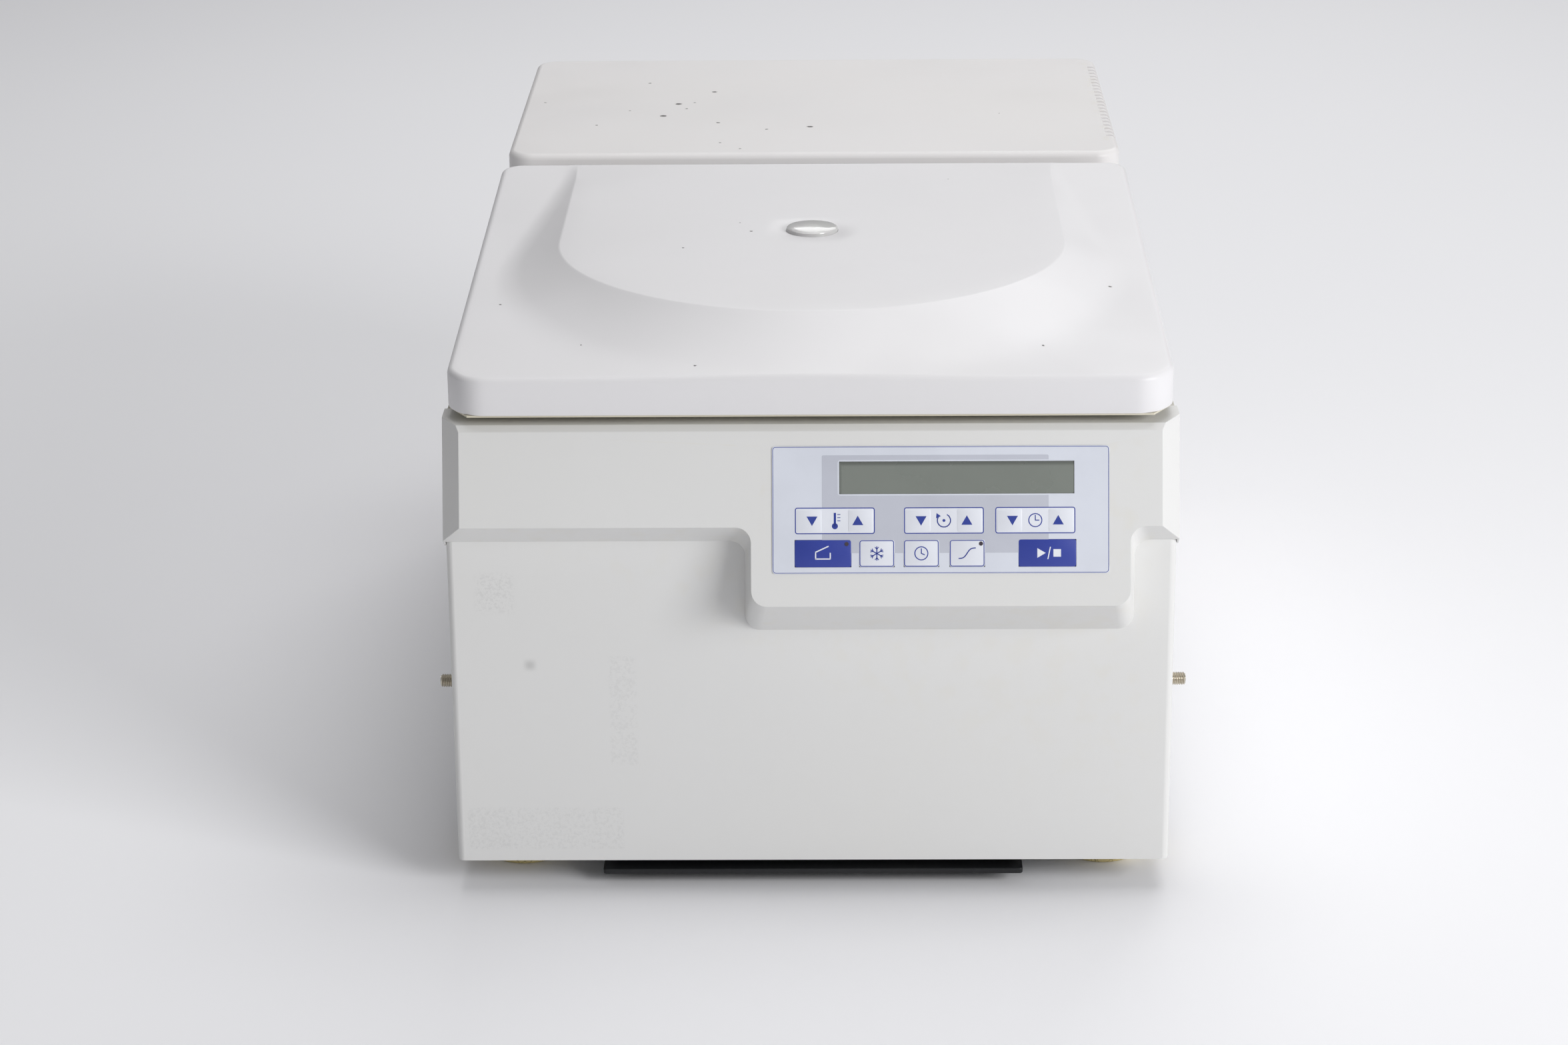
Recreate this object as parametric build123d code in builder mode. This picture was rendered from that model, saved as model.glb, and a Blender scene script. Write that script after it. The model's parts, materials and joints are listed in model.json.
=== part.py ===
from build123d import *
import os
from math import cos, radians, sin, sqrt, tan

os.makedirs("parts", exist_ok=True)

# Refrigerated bench microcentrifuge. X is to the right, Y to the back and Z up. The origin is on the
# bench, under the middle of the whole machine. A "depth" is counted back from the lower front wall.

# ---------------------------------------------------------------- Driving dimensions, mm
# Case
case_width = 303.5
case_depth = 521.0
foot_height = 14.0
deck_height = 195.0
housing_wall = 5.0
housing_edge_radius = 3.0
seam = 0.5
slip = 0.3

# Lid
lid_depth = 303.0
lid_gap = 4.7
lid_front_height = 16.0
lid_rise = 14.2
lid_wall = 3.0
lid_inset = 1.75
lid_corner_x = 8.0
lid_corner_y = 13.0
lid_rear_radius = 10.0
field_radius = 113.0
field_depth = 162.0
flare_width = 58.0
flare_sag = 2.2
liner_thickness = 2.5
liner_lip = 0.8
liner_reveal = 1.0

# Rear cover
rear_gap = 8.5
rear_step = 2.5
rear_inset = 3.0
rear_wall = 2.5
rear_radius = 12.0
rear_edge_radius = 3.0
louvre_count = 22
louvre_pitch = 7.2
louvre_slot = 3.2
louvre_margin = 22.6
louvre_wrap = 5.0
louvre_height = 136.0
back_margin = 13.0
back_thickness = 1.5

# Front fascia and control panel
fascia_overhang = 1.0
fascia_lip = 3.0
fascia_bevel = 2.2
fascia_wrap = 26.0
fascia_wall = 3.0
face_tilt = 16.9
brow_height = 37.8
panel_height = 69.1
underside_angle = 49.0
panel_width = 156.0
panel_margin = 21.25
panel_draft = 8.5
panel_radius = 6.5
corner_stop = 16.0
wall_overlap = 5.5

# Keypad foil, display and keys
foil_width = 138.5
foil_height = 52.5
foil_top_margin = 6.2
foil_radius = 3.0
foil_thickness = 0.8
foil_sink = 0.5
window_left = 27.6
window_top = 6.3
window_width = 96.5
window_height = 13.4
key_height = 10.9
upper_row = 25.2
lower_row = 38.7
pair_width = 32.8
arrow_width = 10.0
arrow_margin = 0.8
key_length = 5.5
key_proud = 0.2
key_play = 0.2
key_travel = 0.4
board_depth = 8.0
board_thickness = 1.6
post_x = 63.0

# Rotor chamber
rotor_depth = 179.0
bowl_radius = 104.0
bowl_wall = 1.2
bowl_height = 85.0
bowl_corner = 10.0
bowl_flange = 11.0
deck_thickness = 3.5
foam_thickness = 8.0
foam_floor = 7.0
coil_tube = 6.0
coil_turns = 4
coil_pitch = 17.0
gasket_width = 7.0
gasket_play = 0.4

# Rotor and drive
rotor_radius = 95.0
rotor_height = 62.0
rotor_floor_gap = 14.0
bore_count = 18
bore_radius = 5.6
bore_length = 36.0
bore_angle = 45.0
mouth_radius = 60.0
hub_radius = 24.0
hub_height = 52.0
shaft_radius = 6.0
running_gap = 0.05
nut_radius = 16.0
nut_height = 16.0
boss_radius = 22.0
motor_radius = 48.0
motor_flange = 14.0
motor_flange_thickness = 5.0
motor_plate_size = 160.0
motor_plate_thickness = 3.0
motor_plate_height = 36.0
mount_radius = 12.0
mount_spacing = 132.0
motor_drop = 22.0

# Hinge and latch
hinge_inset = 15.0
hinge_drop = 15.0
hinge_x = 118.0
hinge_plate = 8.0
hinge_radius = 6.0
hinge_pin_radius = 3.0
ear_thickness = 5.5
striker_depth = 44.0
striker_width = 16.0
striker_plate = 4.0
striker_reach = 28.0
bolt_size = 7.0
bolt_travel = 11.0

# Underside
pan_thickness = 2.0
pan_flange = 14.0
foot_radius = 18.0
foot_x = 126.0
foot_front_depth = 43.0
foot_rear_depth = 478.0
tray_lip_width = 180.0
tray_front_depth = 4.0
tray_length = 186.0
tray_clearance = 3.5
tray_floor = 1.5
tray_wall = 2.0
tray_lip_height = 2.5
tray_lip_rise = 2.0
tray_lip_reach = 10.0
rail_thickness = 2.0
stud_radius = 2.9
stud_reach = 10.0
stud_height = 63.0
stud_depth = 50.0
hose_radius = 4.5

# ---------------------------------------------------------------- Places worked out from them
face_slope = tan(radians(face_tilt))
face_cos = cos(radians(face_tilt))
face_sin = sin(radians(face_tilt))
underside_slope = 1 / tan(radians(underside_angle))
panel_reach = panel_height * face_slope

front_y = -(case_depth - panel_reach) / 2
back_y = front_y + case_depth
base_z = foot_height
deck_z = base_z + deck_height
lid_base_z = deck_z + lid_gap
lid_front_z = lid_base_z + lid_front_height
lid_rear_z = lid_front_z + lid_rise
rear_top_z = lid_rear_z + rear_step
lid_rear_y = front_y + lid_depth
rear_front_y = lid_rear_y + rear_gap
housing_rear_y = rear_front_y - seam
case_half = case_width / 2
inner_half = case_half - housing_wall
lid_half = case_half - lid_inset
rear_half = case_half - rear_inset
field_y = front_y + field_depth
rotor_y = front_y + rotor_depth
rotor_axis = Axis((0, rotor_y, 0), (0, 0, 1))

face_top_z = deck_z - fascia_bevel
brow_edge_z = face_top_z - brow_height
panel_edge_z = face_top_z - panel_height
brow_foot_z = brow_edge_z - brow_height * face_slope * underside_slope
panel_foot_z = panel_edge_z - panel_reach * underside_slope
fascia_half = case_half + fascia_overhang
panel_right = fascia_half - panel_margin
panel_left = panel_right - panel_width
panel_centre = (panel_left + panel_right) / 2
housing_front_top = brow_foot_z + wall_overlap
deck_base_z = deck_z - deck_thickness
foil_left = panel_centre - foil_width / 2
foil_top = -foil_top_margin
pan_z = base_z + pan_thickness
louvre_run = (louvre_count - 1) * louvre_pitch + louvre_slot
louvre_start_y = back_y - louvre_margin - louvre_run

bowl_top_z = deck_base_z
bowl_floor_z = bowl_top_z - bowl_height
foam_inner = bowl_radius + bowl_wall + coil_tube + 2 * slip
foam_outer = foam_inner + foam_thickness
foam_base_z = bowl_floor_z - bowl_wall - slip - foam_floor
rotor_base_z = bowl_floor_z + rotor_floor_gap
rotor_top_z = rotor_base_z + rotor_height
hub_top_z = rotor_base_z + hub_height
boss_top_z = bowl_floor_z + rotor_floor_gap / 2
mount_plate_z = pan_z + motor_plate_height
motor_base_z = mount_plate_z - motor_drop
hinge_y = lid_rear_y - hinge_inset
hinge_z = lid_rear_z - hinge_drop
liner_base_z = lid_base_z - liner_lip
liner_top_z = lid_base_z + liner_thickness


def floor_plane(z):
    """Level plane at height z."""
    return Plane.XY.offset(z)


def wall_plane(y):
    """Upright plane at y, drawn in X and Z and facing the front."""
    return Plane((0, y, 0), x_dir=(1, 0, 0), z_dir=(0, -1, 0))


def side_plane(x):
    """Upright plane at x, drawn in Y and Z and facing the right."""
    return Plane((x, 0, 0), x_dir=(0, 1, 0), z_dir=(1, 0, 0))


face_plane = Plane((0, front_y, face_top_z), x_dir=(1, 0, 0), z_dir=(0, -face_cos, face_sin))

# ---------------------------------------------------------------- Case
# Front housing: lower front wall and both side walls up to the deck.
with BuildPart() as front_housing:
    with BuildSketch(floor_plane(base_z)) as plan:
        with Locations((0, (front_y + housing_rear_y) / 2)):
            Rectangle(case_width, housing_rear_y - front_y)
        fillet(plan.vertices().group_by(Axis.Y)[0], housing_edge_radius)
        with Locations((0, (front_y + housing_wall + housing_rear_y + seam) / 2)):
            Rectangle(2 * inner_half, housing_rear_y + seam - front_y - housing_wall, mode=Mode.SUBTRACT)
    extrude(amount=deck_base_z - base_z)
    # The fascia takes the place of the upper front wall and corners.
    with BuildSketch(side_plane(-case_half - seam)):
        with Locations((front_y - seam, housing_front_top)):
            Rectangle(
                corner_stop + seam, deck_z - housing_front_top, align=(Align.MIN, Align.MIN)
            )
    extrude(amount=case_width + 2 * seam, mode=Mode.SUBTRACT)
    # Opening behind the control panel for its board.
    with BuildSketch(wall_plane(front_y - seam)):
        with Locations((panel_centre, panel_edge_z - fascia_wall)):
            Rectangle(
                panel_width - 2 * fascia_wall, panel_height, align=(Align.CENTER, Align.MIN)
            )
    extrude(amount=-(housing_wall + 2 * seam), mode=Mode.SUBTRACT)
    with BuildSketch(side_plane(-case_half - seam)):
        with Locations((front_y + stud_depth, base_z + stud_height)):
            Circle(stud_radius + slip)
    extrude(amount=case_width + 2 * seam, mode=Mode.SUBTRACT)
front_housing.part.label = "front_housing"
export_step(front_housing.part, "parts/front_housing.step")


def stepped_outline(half, brow, panel, left, right, top, radius):
    """Outline of a full-width brow with the control panel hanging below it."""
    with BuildSketch(Plane.XY) as outline:
        with BuildLine():
            Polyline(
                (-half, top),
                (half, top),
                (half, brow),
                (right, brow),
                (right, panel),
                (left, panel),
                (left, brow),
                (-half, brow),
                close=True,
            )
        make_face()
        fillet([v for v in outline.vertices() if abs(v.X) < half - 1], radius)
    return outline.sketch


def fascia_form(wall):
    """Tapering body of the fascia, its front face and sides drawn in by wall."""
    depth = fascia_lip
    spread = tan(radians(panel_draft))
    half = fascia_half - (wall + lid_corner_x if wall else 0)
    back = stepped_outline(
        half,
        brow_foot_z - depth * underside_slope + 1.4 * wall,
        panel_foot_z - depth * underside_slope + 1.4 * wall,
        panel_left + wall - (panel_reach + depth) * spread,
        panel_right - wall + (panel_reach + depth) * spread,
        deck_z - wall,
        panel_radius,
    )
    front = stepped_outline(
        half,
        -brow_height / face_cos + wall,
        -panel_height / face_cos + wall,
        panel_left + wall,
        panel_right - wall,
        -wall,
        panel_radius,
    )
    with BuildPart() as form:
        with BuildSketch(wall_plane(front_y + depth)):
            add(back)
        with BuildSketch(face_plane.offset(-wall)):
            add(front)
        loft(ruled=True)
    return form.part


def key_places():
    """Every key: name, left edge, top edge, width and height on the foil, in mm."""
    places = []
    for word, left in (("temperature", 9.4), ("speed", 54.2), ("time", 91.7)):
        inner = key_height - 2 * arrow_margin
        top = upper_row + arrow_margin
        places.append((f"{word}_down_key", left + arrow_margin, top, arrow_width, inner))
        right = left + pair_width - arrow_margin - arrow_width
        places.append((f"{word}_up_key", right, top, arrow_width, inner))
    for name, left, width in (
        ("open_key", 9.4, 22.9),
        ("fast_cool_key", 35.9, 14.2),
        ("short_spin_key", 54.2, 14.2),
        ("soft_start_key", 73.0, 14.2),
        ("start_stop_key", 101.4, 23.3),
    ):
        places.append((name, left, lower_row, width, key_height))
    return places


def on_foil(left, top, width, height):
    """Centre on the face plane of a field of the foil."""
    return (foil_left + left + width / 2, foil_top - top - height / 2)


# Front fascia: tilted face, hanging control panel, sloping underside and wrapped ends.
outer = fascia_form(0)
inner = fascia_form(fascia_wall)
board_posts = [(x, y) for x in (-post_x, post_x) for y in (-14.0, -56.0)]
with BuildPart() as front_fascia:
    add(outer)
    with BuildSketch(wall_plane(front_y + fascia_lip)):
        low = brow_foot_z - fascia_lip * underside_slope
        with Locations((0, low)):
            Rectangle(2 * fascia_half, deck_z - low, align=(Align.CENTER, Align.MIN))
    extrude(amount=-(fascia_wrap - fascia_lip))
    front_face = front_fascia.faces().filter_by(
        lambda f: f.normal_at().dot(face_plane.z_dir) > 0.999
    ).sort_by(SortBy.AREA)[-1]
    corners = front_fascia.edges().filter_by(
        lambda e: abs(abs(e.center().X) - fascia_half) < 0.01
        and e.center().Y < front_y
        and e.length > 0.8 * brow_height
    )
    chamfer(corners, length=lid_corner_x, length2=lid_corner_y, reference=front_face)
    add(inner, mode=Mode.SUBTRACT)
    # Hollow behind the loft, the room for the side walls and for the lower front wall.
    with BuildSketch(floor_plane(0)):
        with Locations((0, front_y + fascia_lip)):
            Rectangle(
                2 * (fascia_half - fascia_wall - lid_corner_x),
                fascia_wrap,
                align=(Align.CENTER, Align.MIN),
            )
        with Locations((0, front_y + corner_stop - slip)):
            Rectangle(case_width + 0.1, fascia_wrap, align=(Align.CENTER, Align.MIN))
    extrude(amount=deck_z - fascia_wall, mode=Mode.SUBTRACT)
    with BuildSketch(floor_plane(0)):
        with Locations((0, front_y)):
            Rectangle(case_width + 0.1, fascia_wrap + seam, align=(Align.CENTER, Align.MIN))
    extrude(amount=housing_front_top + slip, mode=Mode.SUBTRACT)
    # Shallow seat of the foil, and the openings for the display and the keys.
    with BuildSketch(face_plane):
        with Locations(on_foil(0, 0, foil_width, foil_height)):
            RectangleRounded(foil_width + 0.1, foil_height + 0.1, foil_radius)
    extrude(amount=-foil_sink, mode=Mode.SUBTRACT)
    with BuildSketch(face_plane):
        with Locations(on_foil(window_left, window_top, window_width, window_height)):
            Rectangle(window_width + 2 * key_play, window_height + 2 * key_play)
        for name, left, top, width, height in key_places():
            with Locations(on_foil(left, top, width, height)):
                Rectangle(width + 2 * key_play, height + 2 * key_play)
    extrude(amount=-(fascia_wall + seam), mode=Mode.SUBTRACT)
    # Posts that carry the board.
    with BuildSketch(face_plane.offset(-fascia_wall)):
        for x, y in board_posts:
            with Locations((panel_centre + x, y)):
                Circle(2.5)
    extrude(amount=-(board_depth - fascia_wall))
front_fascia.part.label = "front_fascia"
export_step(front_fascia.part, "parts/front_fascia.step")

# Keypad foil with the display opening and one opening for each key.
with BuildPart() as keypad_foil:
    with BuildSketch(face_plane.offset(-foil_sink)):
        with Locations(on_foil(0, 0, foil_width, foil_height)):
            RectangleRounded(foil_width, foil_height, foil_radius)
        with Locations(on_foil(window_left, window_top, window_width, window_height)):
            Rectangle(window_width, window_height, mode=Mode.SUBTRACT)
        for name, left, top, width, height in key_places():
            with Locations(on_foil(left, top, width, height)):
                Rectangle(width + 2 * key_play, height + 2 * key_play, mode=Mode.SUBTRACT)
    extrude(amount=foil_thickness)
keypad_foil.part.label = "keypad_foil"
export_step(keypad_foil.part, "parts/keypad_foil.step")

# Keys: sprung blocks that stand in the foil and reach back to the switches of the board.
for name, left, top, width, height in key_places():
    with BuildPart() as key:
        with BuildSketch(face_plane.offset(foil_thickness - foil_sink + key_proud)):
            with Locations(on_foil(left, top, width, height)):
                Rectangle(width, height)
        extrude(amount=-key_length)
    key.part.label = name
    export_step(key.part, f"parts/{name}.step")

# Display window, flush in the foil, and the display module behind it.
with BuildPart() as display_window:
    with BuildSketch(face_plane.offset(-fascia_wall)):
        with Locations(on_foil(window_left, window_top, window_width, window_height)):
            Rectangle(window_width, window_height)
    extrude(amount=fascia_wall - foil_sink + foil_thickness - key_play)
display_window.part.label = "display_window"
export_step(display_window.part, "parts/display_window.step")

module_rim = 4.0
with BuildPart() as display_module:
    with BuildSketch(face_plane.offset(-board_depth)):
        with Locations(on_foil(window_left, window_top, window_width, window_height)):
            Rectangle(window_width + 2 * module_rim, window_height + 2 * module_rim - 2 * seam)
    extrude(amount=board_depth - fascia_wall - slip)
display_module.part.label = "display_module"
export_step(display_module.part, "parts/display_module.step")

# Control board with one switch under each key.
switch_radius = 2.5
board_width = 132.0
board_height = 50.0
key_back = foil_thickness - foil_sink + key_proud - key_length
with BuildPart() as control_board:
    with BuildSketch(face_plane.offset(-board_depth)):
        with Locations((panel_centre, foil_top - foil_height / 2)):
            Rectangle(board_width, board_height)
    extrude(amount=-board_thickness)
    with BuildSketch(face_plane.offset(-board_depth)):
        for name, left, top, width, height in key_places():
            with Locations(on_foil(left, top, width, height)):
                Circle(switch_radius)
    extrude(amount=board_depth + key_back - key_travel - key_play)
control_board.part.label = "control_board"
export_step(control_board.part, "parts/control_board.step")

# Rear cover: top, both sides and the wall behind the lid, with louvres down the right side.
def cover_plan(inset, front_radius):
    """Plan outline of the rear cover, drawn in by inset, with front corners of their own radius."""
    with BuildSketch(Plane.XY) as outline:
        with Locations((0, rear_front_y + inset)):
            Rectangle(
                2 * (rear_half - inset),
                back_y - rear_front_y - 2 * inset,
                align=(Align.CENTER, Align.MIN),
            )
        fillet(outline.vertices().group_by(Axis.Y)[-1], rear_radius - inset)
        if front_radius:
            fillet(outline.vertices().group_by(Axis.Y)[0], front_radius - inset)
    return outline.sketch


cover_lower = cover_plan(0, 0)
cover_upper = cover_plan(0, rear_radius)
cover_lower_inner = cover_plan(rear_wall, 0)
cover_upper_inner = cover_plan(rear_wall, rear_radius)
with BuildPart() as rear_cover:
    with BuildSketch(floor_plane(deck_z)):
        add(cover_upper)
    extrude(amount=rear_top_z - deck_z)
    fillet(rear_cover.faces().sort_by(Axis.Z)[-1].edges(), rear_edge_radius)
    with BuildSketch(floor_plane(base_z)):
        add(cover_lower)
    extrude(amount=deck_z - base_z)
    with BuildSketch(floor_plane(deck_z - rear_wall)):
        add(cover_upper_inner)
    extrude(amount=rear_top_z - deck_z, mode=Mode.SUBTRACT)
    with BuildSketch(floor_plane(base_z)):
        add(cover_lower_inner)
    extrude(amount=deck_z - rear_wall - base_z, mode=Mode.SUBTRACT)
    # Way through below the deck, and the opening for the back panel.
    with BuildSketch(wall_plane(rear_front_y - seam)):
        with Locations((0, base_z)):
            Rectangle(
                2 * (rear_half - rear_wall), deck_base_z - base_z, align=(Align.CENTER, Align.MIN)
            )
    extrude(amount=-(rear_wall + 2 * seam), mode=Mode.SUBTRACT)
    with BuildSketch(wall_plane(back_y + seam)):
        with Locations((0, base_z)):
            Rectangle(
                2 * (rear_half - rear_wall - back_margin),
                rear_top_z - base_z - back_margin,
                align=(Align.CENTER, Align.MIN),
            )
    extrude(amount=rear_wall + 2 * seam, mode=Mode.SUBTRACT)
    with BuildSketch(wall_plane(louvre_start_y)):
        with Locations((rear_half - louvre_wrap, rear_top_z - louvre_height)):
            Rectangle(louvre_wrap + seam, louvre_height + seam, align=(Align.MIN, Align.MIN))
    slot = extrude(amount=-louvre_slot, mode=Mode.PRIVATE)
    with Locations([(0, i * louvre_pitch, 0) for i in range(louvre_count)]):
        add(slot, mode=Mode.SUBTRACT)
rear_cover.part.label = "rear_cover"
export_step(rear_cover.part, "parts/rear_cover.step")

# Back panel behind the cover's rear opening, with an outlet grille and two cut-outs.
panel_overlap = 3.0
panel_y = back_y - rear_wall - back_thickness
grille_rows = 14
grille_pitch = 9.0
grille_slot = 4.0
grille_length = 110.0
grille_x = 58.0
grille_base_z = 62.0
inlet_x = -92.0
inlet_z = 60.0
inlet_width = 28.0
inlet_height = 22.0
switch_x = -92.0
switch_z = 100.0
switch_width = 22.0
switch_height = 28.0
with BuildPart() as back_panel:
    with BuildSketch(wall_plane(panel_y)):
        with Locations((0, base_z + slip)):
            Rectangle(
                2 * (rear_half - rear_wall - back_margin + panel_overlap),
                rear_top_z - base_z - back_margin + panel_overlap,
                align=(Align.CENTER, Align.MIN),
            )
        with Locations([(grille_x, grille_base_z + i * grille_pitch) for i in range(grille_rows)]):
            SlotOverall(grille_length, grille_slot, mode=Mode.SUBTRACT)
        with Locations((inlet_x, inlet_z)):
            Rectangle(inlet_width, inlet_height, mode=Mode.SUBTRACT)
        with Locations((switch_x, switch_z)):
            Rectangle(switch_width, switch_height, mode=Mode.SUBTRACT)
    extrude(amount=-back_thickness)
back_panel.part.label = "back_panel"
export_step(back_panel.part, "parts/back_panel.step")

# Mains inlet: flanged socket with three blades.
inlet_flange = 3.0
flange_thickness = 1.5
inlet_depth = 24.0
socket_wall = 2.0
socket_depth = 17.0
blade_width = 2.0
blade_height = 4.5
blade_length = 11.0
blade_pitch = 7.0
panel_back_y = panel_y + back_thickness
with BuildPart() as mains_inlet:
    with BuildSketch(wall_plane(panel_back_y + flange_thickness)):
        with Locations((inlet_x, inlet_z)):
            Rectangle(inlet_width + 2 * inlet_flange, inlet_height + 2 * inlet_flange)
    extrude(amount=flange_thickness)
    with BuildSketch(wall_plane(panel_back_y)):
        with Locations((inlet_x, inlet_z)):
            Rectangle(inlet_width - 2 * slip, inlet_height - 2 * slip)
    extrude(amount=inlet_depth)
    with BuildSketch(wall_plane(panel_back_y + flange_thickness)) as socket:
        with Locations((inlet_x, inlet_z)):
            Rectangle(inlet_width - 2 * socket_wall, inlet_height - 2 * socket_wall)
        chamfer(socket.vertices().group_by(Axis.Y)[-1], 4.0)
    extrude(amount=socket_depth, mode=Mode.SUBTRACT)
    with BuildSketch(wall_plane(panel_back_y + flange_thickness - socket_depth)):
        with Locations(
            (inlet_x - blade_pitch, inlet_z - 2),
            (inlet_x, inlet_z + 2),
            (inlet_x + blade_pitch, inlet_z - 2),
        ):
            Rectangle(blade_width, blade_height)
    extrude(amount=-blade_length)
mains_inlet.part.label = "mains_inlet"
export_step(mains_inlet.part, "parts/mains_inlet.step")

# Mains switch: fixed frame, and a rocker that tips on a pin across it.
frame_wall = 2.0
frame_depth = 19.0
rocker_radius = 11.0
rocker_tilt = 8.0
rocker_pivot_y = panel_back_y - 6.0
with BuildPart() as switch_frame:
    with BuildSketch(wall_plane(panel_back_y + flange_thickness)):
        with Locations((switch_x, switch_z)):
            Rectangle(switch_width + 2 * frame_wall, switch_height + 2 * frame_wall)
    extrude(amount=flange_thickness)
    with BuildSketch(wall_plane(panel_back_y)):
        with Locations((switch_x, switch_z)):
            Rectangle(switch_width - 2 * slip, switch_height - 2 * slip)
    extrude(amount=frame_depth + frame_wall)
    with BuildSketch(wall_plane(panel_back_y + flange_thickness)):
        with Locations((switch_x, switch_z)):
            Rectangle(switch_width - 2 * frame_wall, switch_height - 2 * frame_wall)
    extrude(amount=frame_depth + flange_thickness, mode=Mode.SUBTRACT)
switch_frame.part.label = "switch_frame"
export_step(switch_frame.part, "parts/switch_frame.step")

rocker_width = switch_width - 2 * frame_wall - 2 * slip
with BuildPart() as switch_rocker:
    with BuildSketch(side_plane(switch_x - rocker_width / 2)):
        with Locations((rocker_pivot_y, switch_z)):
            Circle(rocker_radius)
        with Locations((rocker_pivot_y + 2.5, switch_z)):
            Rectangle(
                rocker_radius, 2 * rocker_radius, align=(Align.MIN, Align.MIN), mode=Mode.SUBTRACT
            )
            with Locations(Rotation(0, 0, 2 * rocker_tilt)):
                Rectangle(
                    rocker_radius, 2 * rocker_radius, align=(Align.MIN, Align.MAX), mode=Mode.SUBTRACT
                )
    extrude(amount=rocker_width)
switch_rocker.part.label = "switch_rocker"
export_step(switch_rocker.part, "parts/switch_rocker.step")

# Base pan with an upturned flange all round.
hole_play = 0.5
foot_places = [
    (x, front_y + depth) for x in (-foot_x, foot_x) for depth in (foot_front_depth, foot_rear_depth)
]
screw_radius = 2.5
pan_half = rear_half - rear_wall - slip
pan_front_y = front_y + housing_wall + slip
pan_rear_y = panel_y - slip
drain_y = rotor_y - bowl_radius + bowl_corner + 2 * hose_radius
with BuildPart() as base_pan:
    with BuildSketch(floor_plane(base_z)):
        with Locations((0, pan_front_y)):
            Rectangle(2 * pan_half, pan_rear_y - pan_front_y, align=(Align.CENTER, Align.MIN))
    extrude(amount=pan_flange)
    fillet(base_pan.edges().filter_by(Axis.Z).group_by(Axis.Y)[-1], rear_radius)
    with BuildSketch(floor_plane(pan_z)):
        with Locations((0, pan_front_y + pan_thickness)):
            RectangleRounded(
                2 * (pan_half - pan_thickness),
                pan_rear_y - pan_front_y - 2 * pan_thickness,
                rear_radius - pan_thickness,
                align=(Align.CENTER, Align.MIN),
            )
    extrude(amount=pan_flange, mode=Mode.SUBTRACT)
    with BuildSketch(floor_plane(base_z - seam)):
        with Locations(*foot_places):
            Circle(screw_radius + 0.1)
        with Locations((0, drain_y)):
            Circle(hose_radius + hole_play)
    extrude(amount=pan_thickness + 2 * seam, mode=Mode.SUBTRACT)
base_pan.part.label = "base_pan"
export_step(base_pan.part, "parts/base_pan.step")

# Rubber feet and their screws.
foot_taper = 1.5
head_radius = 5.0
head_sink = 6.0
with BuildPart() as rubber_feet:
    with BuildSketch(wall_plane(0)):
        with BuildLine():
            Polyline(
                (screw_radius + 0.1, base_z),
                (foot_radius, base_z),
                (foot_radius, foot_height / 2),
                (foot_radius - foot_taper, 0),
                (head_radius + 1, 0),
                (head_radius + 1, head_sink),
                (screw_radius + 0.1, head_sink),
                close=True,
            )
        make_face()
    one_foot = revolve(axis=Axis.Z, mode=Mode.PRIVATE)
    with Locations(*foot_places):
        add(one_foot)
rubber_feet.part.label = "rubber_feet"
export_step(rubber_feet.part, "parts/rubber_feet.step")

with BuildPart() as foot_screws:
    with BuildSketch(floor_plane(head_sink)):
        with Locations(*foot_places):
            Circle(screw_radius)
    extrude(amount=pan_z - head_sink + 4)
    with BuildSketch(floor_plane(head_sink)):
        with Locations(*foot_places):
            Circle(head_radius)
    extrude(amount=-2.5)
foot_screws.part.label = "foot_screws"
export_step(foot_screws.part, "parts/foot_screws.step")

# Screwed studs that stand out of both side walls, each with its nut inside.
nut_size = 6.0
nut_thickness = 5.0
with BuildPart() as side_studs:
    for side in (-1, 1):
        with BuildSketch(side_plane(side * (case_half + stud_reach))):
            with Locations((front_y + stud_depth, base_z + stud_height)):
                Circle(stud_radius)
        extrude(amount=-side * (stud_reach + housing_wall + nut_thickness + 2))
        with BuildSketch(side_plane(side * inner_half)):
            with Locations((front_y + stud_depth, base_z + stud_height)):
                RegularPolygon(nut_size, 6)
        extrude(amount=-side * nut_thickness)
    tips = side_studs.edges().filter_by(GeomType.CIRCLE).group_by(Axis.X)
    chamfer(tips[0] + tips[-1], 0.6)
side_studs.part.label = "side_studs"
export_step(side_studs.part, "parts/side_studs.step")

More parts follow.
